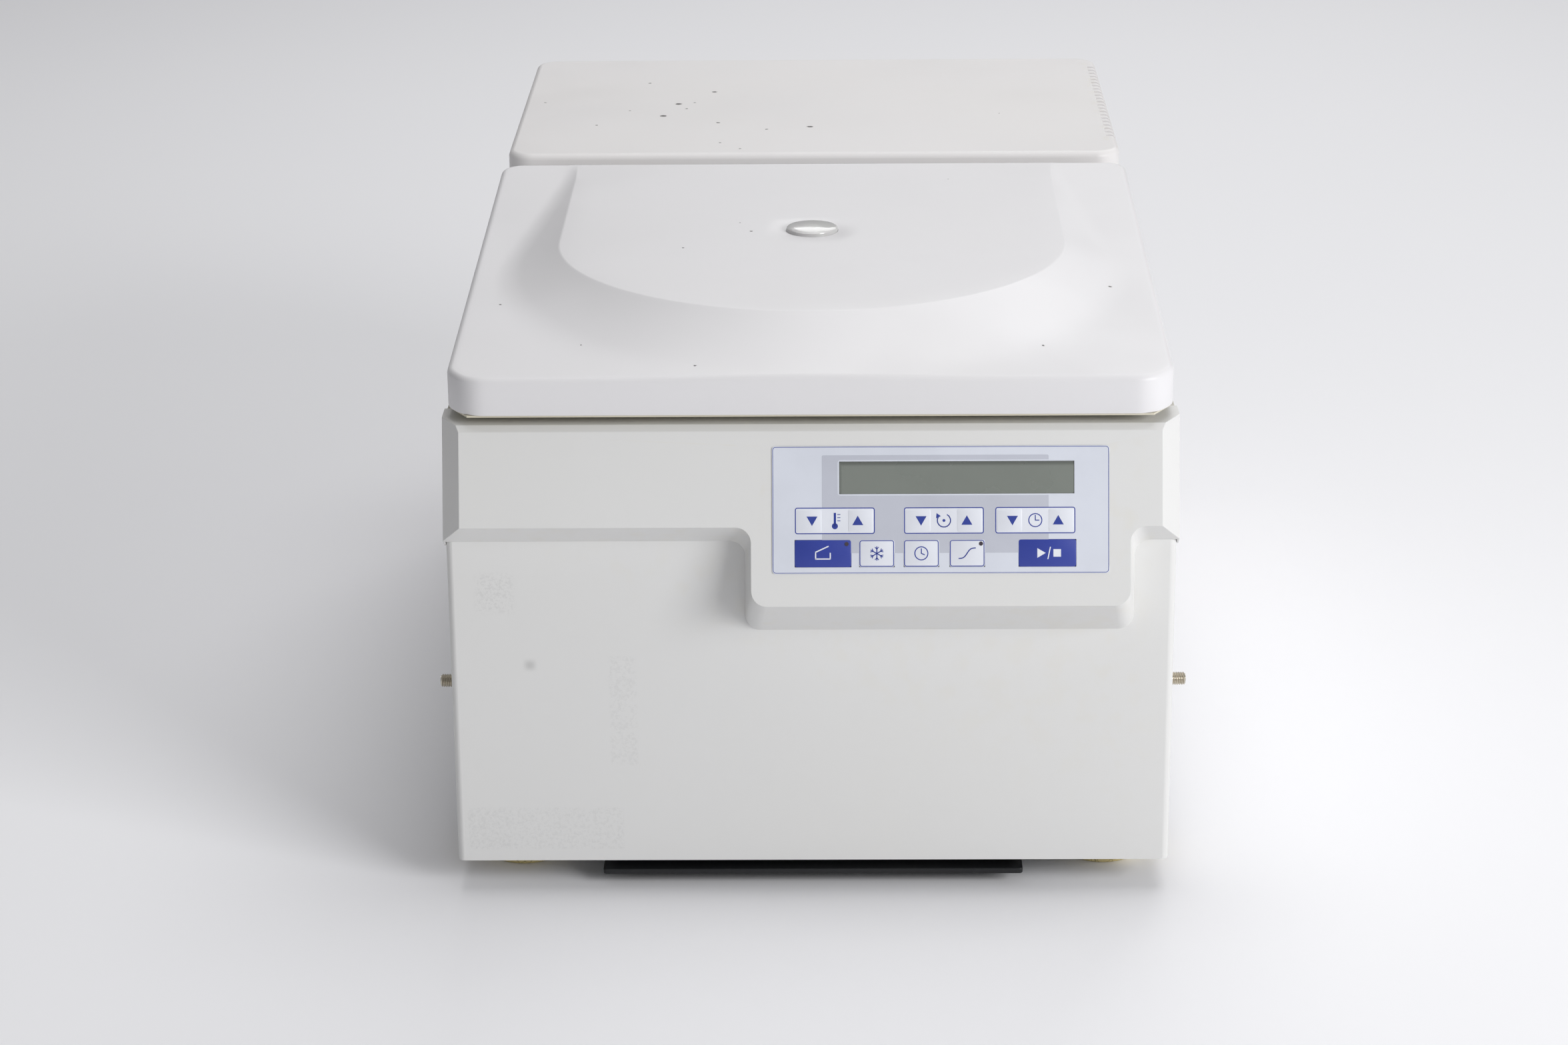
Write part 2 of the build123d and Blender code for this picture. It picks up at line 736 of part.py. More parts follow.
# Condensate tray that slides out to the front in two rails.
tray_half = tray_lip_width / 2
tray_flange_z = base_z - rail_thickness - slip
tray_base_z = tray_clearance
tray_front_y = front_y + tray_front_depth
tray_wall_y = tray_front_y + tray_lip_reach
tray_back_y = tray_front_y + tray_length
rail_inner = tray_half - rail_thickness - slip
tray_body_half = rail_inner - rail_thickness - 2 * slip
with BuildPart() as drip_tray:
    with BuildSketch(floor_plane(tray_base_z)):
        with Locations((0, tray_wall_y)):
            Rectangle(2 * tray_body_half, tray_back_y - tray_wall_y, align=(Align.CENTER, Align.MIN))
    extrude(amount=tray_flange_z - tray_base_z)
    with BuildSketch(floor_plane(tray_flange_z)):
        with Locations((0, tray_wall_y)):
            Rectangle(
                2 * (rail_inner - slip), tray_back_y - tray_wall_y, align=(Align.CENTER, Align.MIN)
            )
    extrude(amount=-tray_floor)
    with BuildSketch(floor_plane(tray_base_z + tray_floor)):
        with Locations((0, tray_wall_y + tray_wall)):
            Rectangle(
                2 * (tray_body_half - tray_wall),
                tray_back_y - tray_wall_y - 2 * tray_wall,
                align=(Align.CENTER, Align.MIN),
            )
    extrude(amount=tray_flange_z, mode=Mode.SUBTRACT)
    # Finger lip along the foot of the front wall.
    with BuildSketch(floor_plane(tray_base_z + tray_lip_rise)) as lip:
        with Locations((0, tray_front_y)):
            Rectangle(2 * tray_half, tray_lip_reach, align=(Align.CENTER, Align.MIN))
        fillet(lip.vertices().group_by(Axis.Y)[0], 1.5)
    extrude(amount=tray_lip_height)
drip_tray.part.label = "drip_tray"
export_step(drip_tray.part, "parts/drip_tray.step")

with BuildPart() as tray_rails:
    rail_top = base_z
    hook_z = tray_flange_z - tray_floor - slip
    with BuildSketch(wall_plane(tray_wall_y + 2)):
        with BuildLine():
            Polyline(
                (rail_inner, rail_top),
                (rail_inner + rail_thickness, rail_top),
                (rail_inner + rail_thickness, hook_z - rail_thickness),
                (tray_body_half + slip, hook_z - rail_thickness),
                (tray_body_half + slip, hook_z),
                (rail_inner, hook_z),
                close=True,
            )
        make_face()
        mirror(about=Plane.YZ)
    extrude(amount=-(tray_length - tray_lip_reach))
tray_rails.part.label = "tray_rails"
export_step(tray_rails.part, "parts/tray_rails.step")

# ---------------------------------------------------------------- Deck and rotor chamber
# Deck under the lid, with the chamber's round opening and the slot of the striker.
skirt_depth = 8.0
skirt_wall = 2.0
slot_play = 3.5
striker_y = front_y + striker_depth
opening_radius = bowl_radius + bowl_wall + 2.0
deck_front_y = front_y + fascia_wrap + slip
with BuildPart() as top_deck:
    with BuildSketch(floor_plane(deck_base_z)):
        with Locations((0, deck_front_y)):
            Rectangle(case_width, housing_rear_y - deck_front_y, align=(Align.CENTER, Align.MIN))
        with Locations((0, rotor_y)):
            Circle(opening_radius, mode=Mode.SUBTRACT)
        with Locations((0, striker_y)):
            Rectangle(striker_plate + slot_play, striker_width + 2 * slot_play, mode=Mode.SUBTRACT)
    extrude(amount=deck_thickness)
    # Locating skirts inside the two side walls.
    with BuildSketch(floor_plane(deck_base_z)):
        for side in (-1, 1):
            with Locations((side * (inner_half - slip - skirt_wall / 2), deck_front_y)):
                Rectangle(
                    skirt_wall, housing_rear_y - deck_front_y, align=(Align.CENTER, Align.MIN)
                )
    extrude(amount=-skirt_depth)
top_deck.part.label = "top_deck"
export_step(top_deck.part, "parts/top_deck.step")

# Deep-drawn bowl, its rim flange held under the deck.
floor_hole = boss_radius + 2.0
bowl_lip = 1.2
with BuildPart() as chamber_bowl:
    with BuildSketch(wall_plane(rotor_y)):
        with BuildLine():
            inner_wall = bowl_radius
            outer_wall = bowl_radius + bowl_wall
            bend = bowl_corner + bowl_wall
            Line((floor_hole, bowl_floor_z), (inner_wall - bowl_corner, bowl_floor_z))
            RadiusArc(
                (inner_wall - bowl_corner, bowl_floor_z),
                (inner_wall, bowl_floor_z + bowl_corner),
                -bowl_corner,
            )
            Polyline(
                (inner_wall, bowl_floor_z + bowl_corner),
                (inner_wall, bowl_top_z),
                (outer_wall + bowl_flange, bowl_top_z),
                (outer_wall + bowl_flange, bowl_top_z - bowl_lip),
                (outer_wall, bowl_top_z - bowl_lip),
                (outer_wall, bowl_floor_z - bowl_wall + bend),
            )
            RadiusArc(
                (outer_wall, bowl_floor_z - bowl_wall + bend),
                (outer_wall - bend, bowl_floor_z - bowl_wall),
                bend,
            )
            Polyline(
                (outer_wall - bend, bowl_floor_z - bowl_wall),
                (floor_hole, bowl_floor_z - bowl_wall),
                (floor_hole, bowl_floor_z),
            )
        make_face()
    revolve(axis=rotor_axis)
    with BuildSketch(floor_plane(bowl_floor_z + seam)):
        with Locations((0, drain_y)):
            Circle(hose_radius - 1.5)
    extrude(amount=-(bowl_wall + 2 * seam), mode=Mode.SUBTRACT)
chamber_bowl.part.label = "chamber_bowl"
export_step(chamber_bowl.part, "parts/chamber_bowl.step")

# Moulded foam jacket round the bowl and its cooling coil.
with BuildPart() as chamber_foam:
    with BuildSketch(floor_plane(foam_base_z)):
        with Locations((0, rotor_y)):
            Circle(foam_outer)
            Circle(floor_hole, mode=Mode.SUBTRACT)
        with Locations((0, drain_y)):
            Circle(hose_radius + hole_play, mode=Mode.SUBTRACT)
    extrude(amount=foam_floor)
    with BuildSketch(floor_plane(foam_base_z)):
        with Locations((0, rotor_y)):
            Circle(foam_outer)
            Circle(foam_inner, mode=Mode.SUBTRACT)
    extrude(amount=bowl_top_z - bowl_lip - slip - foam_base_z)
chamber_foam.part.label = "chamber_foam"
export_step(chamber_foam.part, "parts/chamber_foam.step")

with BuildPart() as evaporator_coil:
    coil_radius = bowl_radius + bowl_wall + slip + coil_tube / 2
    for turn in range(coil_turns):
        with BuildSketch(wall_plane(rotor_y)):
            with Locations((coil_radius, bowl_floor_z + bowl_corner + coil_tube + turn * coil_pitch)):
                Circle(coil_tube / 2)
        revolve(axis=rotor_axis)
evaporator_coil.part.label = "evaporator_coil"
export_step(evaporator_coil.part, "parts/evaporator_coil.step")

# Rubber gasket on the deck round the opening, with a soft lip towards the lid.
gasket_inner = opening_radius + 1.5
gasket_top_z = liner_base_z - gasket_play
with BuildPart() as chamber_gasket:
    with BuildSketch(wall_plane(rotor_y)):
        with BuildLine():
            Polyline(
                (gasket_inner, deck_z),
                (gasket_inner + gasket_width, deck_z),
                (gasket_inner + gasket_width, deck_z + 1.5),
                (gasket_inner + 3.0, deck_z + 1.5),
                (gasket_inner + 2.0, gasket_top_z),
                (gasket_inner, gasket_top_z),
                close=True,
            )
        make_face()
    revolve(axis=rotor_axis)
chamber_gasket.part.label = "chamber_gasket"
export_step(chamber_gasket.part, "parts/chamber_gasket.step")

# Rubber boot that closes the bowl floor round the motor's neck.
boot_play = 0.3
boot_flange = 8.0
boot_height = 3.0
with BuildPart() as shaft_boot:
    with BuildSketch(wall_plane(rotor_y)):
        with BuildLine():
            Polyline(
                (boss_radius + boot_play, bowl_floor_z - bowl_wall),
                (floor_hole - boot_play, bowl_floor_z - bowl_wall),
                (floor_hole - boot_play, bowl_floor_z + 0.1),
                (floor_hole + boot_flange, bowl_floor_z + 0.1),
                (floor_hole + boot_flange - 2, bowl_floor_z + boot_height),
                (boss_radius + boot_play, bowl_floor_z + boot_height),
                close=True,
            )
        make_face()
    revolve(axis=rotor_axis)
shaft_boot.part.label = "shaft_boot"
export_step(shaft_boot.part, "parts/shaft_boot.step")

# ---------------------------------------------------------------- Drive
# Motor on a plate that stands on four rubber mounts.
mount_places = [
    (sx * mount_spacing / 2, rotor_y + sy * mount_spacing / 2) for sx in (-1, 1) for sy in (-1, 1)
]
waist = 2.0
with BuildPart() as motor_mounts:
    with BuildSketch(wall_plane(0)):
        with BuildLine():
            Line((0, pan_z), (mount_radius, pan_z))
            ThreePointArc(
                (mount_radius, pan_z),
                (mount_radius - waist, pan_z + motor_plate_height / 2),
                (mount_radius, mount_plate_z),
            )
            Polyline((mount_radius, mount_plate_z), (0, mount_plate_z), (0, pan_z))
        make_face()
    one_mount = revolve(axis=Axis.Z, mode=Mode.PRIVATE)
    with Locations(*mount_places):
        add(one_mount)
motor_mounts.part.label = "motor_mounts"
export_step(motor_mounts.part, "parts/motor_mounts.step")

hose_room = 1.5
with BuildPart() as motor_plate:
    with BuildSketch(floor_plane(mount_plate_z)):
        with Locations((0, rotor_y)):
            RectangleRounded(motor_plate_size, motor_plate_size, mount_radius)
            Circle(motor_radius + seam, mode=Mode.SUBTRACT)
        # Relief in the front edge for the drain hose.
        with Locations((0, drain_y)):
            Circle(hose_radius + hose_room, mode=Mode.SUBTRACT)
            Rectangle(
                2 * (hose_radius + hose_room),
                motor_plate_size / 2,
                align=(Align.CENTER, Align.MAX),
                mode=Mode.SUBTRACT,
            )
    extrude(amount=motor_plate_thickness)
motor_plate.part.label = "motor_plate"
export_step(motor_plate.part, "parts/motor_plate.step")

flange_z = mount_plate_z + motor_plate_thickness
motor_top_z = foam_base_z - 8.0
rib_count = 12
rib_width = 3.0
with BuildPart() as motor_body:
    with BuildSketch(wall_plane(rotor_y)):
        with BuildLine():
            Polyline(
                (shaft_radius + running_gap, motor_base_z + 8),
                (shaft_radius + running_gap, boss_top_z),
                (boss_radius - 4, boss_top_z),
                (boss_radius, boss_top_z - 4),
                (boss_radius, motor_top_z),
                (motor_radius - 8, motor_top_z),
                (motor_radius, motor_top_z - 6),
                (motor_radius, flange_z + motor_flange_thickness),
                (motor_radius + motor_flange, flange_z + motor_flange_thickness),
                (motor_radius + motor_flange, flange_z),
                (motor_radius, flange_z),
                (motor_radius, motor_base_z + 4),
                (motor_radius - 6, motor_base_z),
                (0, motor_base_z),
                (0, motor_base_z + 8),
                close=True,
            )
        make_face()
    revolve(axis=rotor_axis)
    # Cooling ribs above the flange.
    with BuildSketch(floor_plane(flange_z + motor_flange_thickness)):
        with Locations((0, rotor_y)):
            with PolarLocations(motor_radius, rib_count):
                Rectangle(7.0, rib_width)
    extrude(amount=motor_top_z - 8 - flange_z - motor_flange_thickness)
motor_body.part.label = "motor_body"
export_step(motor_body.part, "parts/motor_body.step")

shaft_top_z = hub_top_z + nut_height / 2
with BuildPart() as motor_shaft:
    with BuildSketch(floor_plane(motor_base_z + 8.2)):
        with Locations((0, rotor_y)):
            Circle(shaft_radius)
    extrude(amount=shaft_top_z - motor_base_z - 8.2)
    collar_z = boss_top_z + slip
    with BuildSketch(floor_plane(collar_z)):
        with Locations((0, rotor_y)):
            Circle(boss_radius - 6)
    extrude(amount=rotor_base_z - collar_z)
motor_shaft.part.label = "motor_shaft"
export_step(motor_shaft.part, "parts/motor_shaft.step")

# Fixed-angle rotor: funnel-shaped top with a ring of tube bores that lean out and down.
rim_width = 15.0
heel = 14.0
cone_rise = rotor_top_z - (rotor_radius - rim_width)
mouth_z = cone_rise + mouth_radius
funnel_floor_r = hub_radius + 18.0
lean = radians(bore_angle)
mouth_clear = 4.0
bore_mouths = []
for i in range(bore_count):
    turn = radians(360 / bore_count * (i + 0.5))
    bore_mouths.append(
        Plane(
            (mouth_radius * cos(turn), rotor_y + mouth_radius * sin(turn), mouth_z),
            z_dir=(-sin(lean) * cos(turn), -sin(lean) * sin(turn), cos(lean)),
        )
    )
with BuildPart() as rotor_body:
    with BuildSketch(wall_plane(rotor_y)):
        with BuildLine():
            Polyline(
                (shaft_radius + 0.02, rotor_base_z),
                (rotor_radius - heel, rotor_base_z),
                (rotor_radius, rotor_base_z + heel),
                (rotor_radius, rotor_top_z),
                (rotor_radius - rim_width, rotor_top_z),
                (funnel_floor_r, cone_rise + funnel_floor_r),
                (hub_radius, cone_rise + funnel_floor_r),
                (hub_radius, hub_top_z - 4),
                (hub_radius - 4, hub_top_z),
                (shaft_radius + 0.02, hub_top_z),
                close=True,
            )
        make_face()
    revolve(axis=rotor_axis)
    with BuildSketch(*[mouth.offset(mouth_clear) for mouth in bore_mouths]):
        Circle(bore_radius)
    extrude(amount=-bore_length - mouth_clear, mode=Mode.SUBTRACT)
rotor_body.part.label = "rotor_body"
export_step(rotor_body.part, "parts/rotor_body.step")

# Knurled nut that holds the rotor on the shaft.
flute_count = 12
flute_radius = 2.2
with BuildPart() as rotor_nut:
    with BuildSketch(floor_plane(hub_top_z)):
        with Locations((0, rotor_y)):
            Circle(nut_radius)
            with PolarLocations(nut_radius + 0.8, flute_count):
                Circle(flute_radius, mode=Mode.SUBTRACT)
    extrude(amount=nut_height)
    with BuildSketch(floor_plane(hub_top_z)):
        with Locations((0, rotor_y)):
            Circle(shaft_radius + 0.02)
    extrude(amount=nut_height / 2 + seam, mode=Mode.SUBTRACT)
rotor_nut.part.label = "rotor_nut"
export_step(rotor_nut.part, "parts/rotor_nut.step")

# ---------------------------------------------------------------- Lid
glass_radius = 12.2
glass_rise = 2.5
glass_flange = 2.5
sight_radius = 11.0


def lid_plan(inset):
    """Plan outline of the lid, drawn in by inset: cut front corners and round rear ones."""
    half = lid_half - inset
    near = front_y + inset
    far = lid_rear_y - inset
    with BuildSketch(Plane.XY) as outline:
        with BuildLine():
            Polyline(
                (-half + lid_corner_x, near),
                (half - lid_corner_x, near),
                (half, near + lid_corner_y),
                (half, far),
                (-half, far),
                (-half, near + lid_corner_y),
                close=True,
            )
        make_face()
        fillet(outline.vertices().group_by(Axis.Y)[-1], lid_rear_radius - inset)
    return outline.sketch


def lid_form(inset):
    """Body of the lid: sloping rim and level raised field that flares down to it."""
    outline = lid_plan(inset)
    top = lid_rear_z - inset
    crest = (field_radius, top)
    foot = (field_radius + flare_width, top - lid_rise)
    chord = sqrt(flare_width**2 + lid_rise**2)
    middle = (
        (crest[0] + foot[0]) / 2 - flare_sag * lid_rise / chord,
        (crest[1] + foot[1]) / 2 - flare_sag * flare_width / chord,
    )
    with BuildPart() as field:
        with BuildSketch(wall_plane(field_y)) as flank:
            with BuildLine():
                ThreePointArc(crest, middle, foot)
                Polyline(foot, (foot[0], lid_base_z), (0, lid_base_z), (0, top), crest)
            make_face()
        revolve(axis=Axis((0, field_y, 0), (0, 0, -1)), revolution_arc=180)
        with BuildSketch(wall_plane(field_y)):
            add(flank.sketch_local)
            mirror(flank.sketch_local, about=Plane.YZ)
        extrude(amount=-(lid_rear_y - field_y + seam))
    with BuildPart() as sky:
        with BuildSketch(side_plane(-case_half)):
            with BuildLine():
                Polyline(
                    (front_y, top - lid_rise),
                    (lid_rear_y, top),
                    (front_y, top),
                    close=True,
                )
            make_face()
        extrude(amount=case_width)
        add(field.part, mode=Mode.SUBTRACT)
    with BuildPart() as form:
        with BuildSketch(floor_plane(lid_base_z)):
            add(outline)
        extrude(amount=top - lid_base_z)
        add(sky.part, mode=Mode.SUBTRACT)
    return form.part


# The lid's rear lower edge is rolled about the hinge axis, so that it clears the deck as it swings.
heel_radius = hinge_z - liner_base_z + 0.1
with BuildPart() as heel_tool:
    with BuildSketch(side_plane(-case_half - seam)):
        with Locations((hinge_y, hinge_z)):
            Rectangle(2 * heel_radius, 2 * heel_radius, align=(Align.MIN, Align.MAX))
            Circle(heel_radius, mode=Mode.SUBTRACT)
    extrude(amount=case_width + 2 * seam)
heel_cut = heel_tool.part

lid_outer = lid_form(0)
lid_inner = lid_form(lid_wall)
bracket_slot = hinge_plate + 2.0
with BuildPart() as lid_shell:
    add(lid_outer)
    add(lid_inner, mode=Mode.SUBTRACT)
    with BuildSketch(floor_plane(lid_base_z)):
        with Locations((0, rotor_y)):
            Circle(glass_radius + 0.1)
    extrude(amount=lid_rear_z - lid_base_z + seam, mode=Mode.SUBTRACT)
    # Openings in the rear wall for the hinge brackets to pass as the lid swings up.
    with BuildSketch(wall_plane(lid_rear_y + seam)):
        with Locations((-hinge_x, lid_base_z), (hinge_x, lid_base_z)):
            Rectangle(bracket_slot, hinge_z + 5 - lid_base_z, align=(Align.CENTER, Align.MIN))
    extrude(amount=lid_wall + 2 * seam, mode=Mode.SUBTRACT)
    add(heel_cut, mode=Mode.SUBTRACT)
lid_shell.part.label = "lid_shell"
export_step(lid_shell.part, "parts/lid_shell.step")

# Liner that closes the lid from below, with the hinge ears standing on it.
liner_low = lid_plan(liner_reveal)
liner_high = lid_plan(lid_wall + slip)
notch_y = hinge_y - hinge_radius - 8.0
ear_half = hinge_radius + 1.0
hinge_ears = [
    side * hinge_x + offset * (hinge_plate / 2 + 1.0 + ear_thickness / 2)
    for side in (-1, 1)
    for offset in (-1, 1)
]
with BuildPart() as lid_liner:
    with BuildSketch(floor_plane(liner_base_z)):
        add(liner_low)
    extrude(amount=liner_lip)
    with BuildSketch(floor_plane(lid_base_z)):
        add(liner_high)
    extrude(amount=liner_thickness)
    with BuildSketch(floor_plane(liner_base_z)):
        with Locations((0, rotor_y)):
            Circle(sight_radius)
        with Locations((-hinge_x, notch_y), (hinge_x, notch_y)):
            Rectangle(bracket_slot, lid_depth, align=(Align.CENTER, Align.MIN))
    extrude(amount=liner_thickness + liner_lip, mode=Mode.SUBTRACT)
    add(heel_cut, mode=Mode.SUBTRACT)
    for x in hinge_ears:
        with BuildSketch(side_plane(x - ear_thickness / 2)):
            with Locations((hinge_y, hinge_z)):
                Circle(ear_half)
            with Locations((hinge_y, liner_top_z)):
                Rectangle(2 * ear_half, hinge_z - liner_top_z, align=(Align.CENTER, Align.MIN))
            with Locations((hinge_y, hinge_z)):
                Circle(hinge_pin_radius + running_gap, mode=Mode.SUBTRACT)
        extrude(amount=ear_thickness)
lid_liner.part.label = "lid_liner"
export_step(lid_liner.part, "parts/lid_liner.step")

# Foam block inside the lid over the chamber, with the sight hole through it.
lid_foam_radius = 108.0
with BuildPart() as lid_foam:
    with BuildSketch(floor_plane(liner_top_z)):
        with Locations((0, rotor_y)):
            Circle(lid_foam_radius)
            Circle(glass_radius + glass_flange + slip, mode=Mode.SUBTRACT)
        with Locations((0, lid_rear_y - lid_wall - slip)):
            Rectangle(
                case_width, case_depth, align=(Align.CENTER, Align.MIN), mode=Mode.SUBTRACT
            )
    extrude(amount=lid_front_z - lid_wall - slip - liner_top_z)
lid_foam.part.label = "lid_foam"
export_step(lid_foam.part, "parts/lid_foam.step")

# Viewing glass: domed lens through the shell, held by a flange under it, and a pane on the liner.
glass_edge = 0.8
dome_rise = glass_rise - glass_edge
dome_radius = (glass_radius**2 + dome_rise**2) / (2 * dome_rise)
with BuildPart() as view_glass:
    under_z = lid_rear_z - lid_wall
    with BuildSketch(wall_plane(rotor_y)):
        with BuildLine():
            Polyline(
                (0, lid_rear_z + glass_rise),
                (0, under_z - 2),
                (glass_radius + glass_flange, under_z - 2),
                (glass_radius + glass_flange, under_z),
                (glass_radius, under_z),
                (glass_radius, lid_rear_z + glass_edge),
            )
            RadiusArc(
                (glass_radius, lid_rear_z + glass_edge), (0, lid_rear_z + glass_rise), -dome_radius
            )
        make_face()
    revolve(axis=rotor_axis)
view_glass.part.label = "view_glass"
export_step(view_glass.part, "parts/view_glass.step")

with BuildPart() as inner_pane:
    with BuildSketch(floor_plane(liner_top_z)):
        with Locations((0, rotor_y)):
            Circle(glass_radius + glass_flange)
    extrude(amount=2.0)
inner_pane.part.label = "inner_pane"
export_step(inner_pane.part, "parts/inner_pane.step")

# Striker plate under the lid's front edge, with the hole that the bolt enters.
striker_hole = bolt_size + 1.4
bolt_drop = 12.0
bolt_z = deck_base_z - bolt_drop
with BuildPart() as lid_striker:
    with BuildSketch(side_plane(-striker_plate / 2)):
        with Locations((striker_y, liner_base_z)):
            Rectangle(striker_width, striker_reach, align=(Align.CENTER, Align.MAX))
        with Locations((striker_y, bolt_z)):
            Rectangle(striker_hole, striker_hole, mode=Mode.SUBTRACT)
    extrude(amount=striker_plate)
    fillet(lid_striker.edges().filter_by(Axis.X).group_by(Axis.Z)[0], 2.0)
lid_striker.part.label = "lid_striker"
export_step(lid_striker.part, "parts/lid_striker.step")

# ---------------------------------------------------------------- Hinge and latch
bracket_foot = 20.0
bracket_foot_depth = 24.0
bracket_foot_height = 1.5
with BuildPart() as hinge_brackets:
    for side in (-1, 1):
        with BuildSketch(floor_plane(deck_z)):
            with Locations((side * hinge_x, hinge_y)):
                Rectangle(bracket_foot, bracket_foot_depth)
        extrude(amount=bracket_foot_height)
        with BuildSketch(side_plane(side * hinge_x - hinge_plate / 2)):
            with Locations((hinge_y, hinge_z)):
                Circle(hinge_radius)
            with Locations((hinge_y, deck_z)):
                Rectangle(2 * hinge_radius, hinge_z - deck_z, align=(Align.CENTER, Align.MIN))
        extrude(amount=hinge_plate)
        with BuildSketch(side_plane(side * hinge_x - hinge_plate / 2)):
            with Locations((hinge_y, hinge_z)):
                Circle(hinge_pin_radius + 0.02)
        extrude(amount=hinge_plate, mode=Mode.SUBTRACT)
hinge_brackets.part.label = "hinge_brackets"
export_step(hinge_brackets.part, "parts/hinge_brackets.step")

pin_length = hinge_plate + 2 * (1.0 + ear_thickness) + 1.0
with BuildPart() as hinge_pins:
    for side in (-1, 1):
        with BuildSketch(side_plane(side * hinge_x - pin_length / 2)):
            with Locations((hinge_y, hinge_z)):
                Circle(hinge_pin_radius)
        extrude(amount=pin_length)
hinge_pins.part.label = "hinge_pins"
export_step(hinge_pins.part, "parts/hinge_pins.step")

# Latch housing under the deck: guides the bolt across the striker's slot.
latch_depth = 29.0
latch_height = 22.0
latch_margin = 6.5
bolt_length = 30.0
bolt_gap = 2.5
bolt_rest_x = -striker_plate / 2 - bolt_gap
latch_left = bolt_rest_x - bolt_length - latch_margin - 1.0
latch_right = bolt_rest_x + bolt_travel + latch_margin
with BuildPart() as latch_housing:
    with BuildSketch(floor_plane(deck_base_z)):
        with Locations((latch_left, striker_y)):
            Rectangle(latch_right - latch_left, latch_depth, align=(Align.MIN, Align.CENTER))
        with Locations((0, striker_y)):
            Rectangle(striker_plate + slot_play, striker_width + 2 * slot_play, mode=Mode.SUBTRACT)
    extrude(amount=-latch_height)
    with BuildSketch(side_plane(latch_left)):
        with Locations((striker_y, bolt_z)):
            Rectangle(bolt_size + 2 * key_play, bolt_size + 2 * key_play)
    extrude(amount=latch_right - latch_left, mode=Mode.SUBTRACT)
latch_housing.part.label = "latch_housing"
export_step(latch_housing.part, "parts/latch_housing.step")

with BuildPart() as latch_bolt:
    with BuildSketch(side_plane(bolt_rest_x)):
        with Locations((striker_y, bolt_z)):
            Rectangle(bolt_size, bolt_size)
    extrude(amount=-bolt_length)
    chamfer(latch_bolt.faces().sort_by(Axis.X)[-1].edges(), 1.0)
latch_bolt.part.label = "latch_bolt"
export_step(latch_bolt.part, "parts/latch_bolt.step")

latch_motor_radius = 10.0
latch_motor_length = 32.0
with BuildPart() as latch_motor:
    with BuildSketch(side_plane(latch_left)):
        with Locations((striker_y, bolt_z)):
            Circle(latch_motor_radius)
    extrude(amount=-latch_motor_length)
latch_motor.part.label = "latch_motor"
export_step(latch_motor.part, "parts/latch_motor.step")

# ---------------------------------------------------------------- Cooling and power
hose_wall = 1.3
with BuildPart() as drain_hose:
    hose_top_z = bowl_floor_z - bowl_wall
    with BuildSketch(floor_plane(hose_top_z)):
        with Locations((0, drain_y)):
            Circle(hose_radius)
            Circle(hose_radius - hose_wall, mode=Mode.SUBTRACT)
    extrude(amount=-(hose_top_z - tray_flange_z - 4 * slip))
drain_hose.part.label = "drain_hose"
export_step(drain_hose.part, "parts/drain_hose.step")

compressor_x = -52.0
compressor_margin = 109.0
compressor_radius = 52.0
compressor_height = 126.0
base_margin = 2.0
base_corner = 12.0
base_thickness = 3.0
leg_inset = 10.0
leg_hole_radius = 4.0
grommet_radius = 8.0
grommet_height = 8.0
grommet_neck = 5.0
dome = 18.0
can_chamfer = 6.0
compressor_y = back_y - compressor_margin
compressor_base = 2 * (compressor_radius + base_margin)
leg_offset = compressor_base / 2 - leg_inset
can_base_z = pan_z + grommet_height + base_thickness
can_top_z = can_base_z + compressor_height
dome_curve = (compressor_radius**2 + dome**2) / (2 * dome)
compressor_axis = Axis((compressor_x, compressor_y, 0), (0, 0, 1))
leg_places = [
    (compressor_x + sx * leg_offset, compressor_y + sy * leg_offset)
    for sx in (-1, 1)
    for sy in (-1, 1)
]
with BuildPart() as compressor:
    with BuildSketch(Plane((compressor_x, compressor_y, 0), x_dir=(1, 0, 0), z_dir=(0, -1, 0))):
        with BuildLine():
            Polyline(
                (0, can_base_z),
                (compressor_radius - can_chamfer, can_base_z),
                (compressor_radius, can_base_z + can_chamfer),
                (compressor_radius, can_top_z - dome),
            )
            RadiusArc((compressor_radius, can_top_z - dome), (0, can_top_z), -dome_curve)
            Line((0, can_top_z), (0, can_base_z))
        make_face()
    revolve(axis=compressor_axis)
    with BuildSketch(floor_plane(can_base_z - base_thickness)):
        with Locations((compressor_x, compressor_y)):
            RectangleRounded(compressor_base, compressor_base, base_corner)
        with Locations(*leg_places):
            Circle(leg_hole_radius, mode=Mode.SUBTRACT)
    extrude(amount=base_thickness)
compressor.part.label = "compressor"
export_step(compressor.part, "parts/compressor.step")

with BuildPart() as compressor_grommets:
    with BuildSketch(floor_plane(pan_z)):
        with Locations(*leg_places):
            Circle(grommet_radius)
    extrude(amount=grommet_height)
    with BuildSketch(floor_plane(pan_z + grommet_height)):
        with Locations(*leg_places):
            Circle(leg_hole_radius - 0.1)
    extrude(amount=grommet_neck)
compressor_grommets.part.label = "compressor_grommets"
export_step(compressor_grommets.part, "parts/compressor_grommets.step")

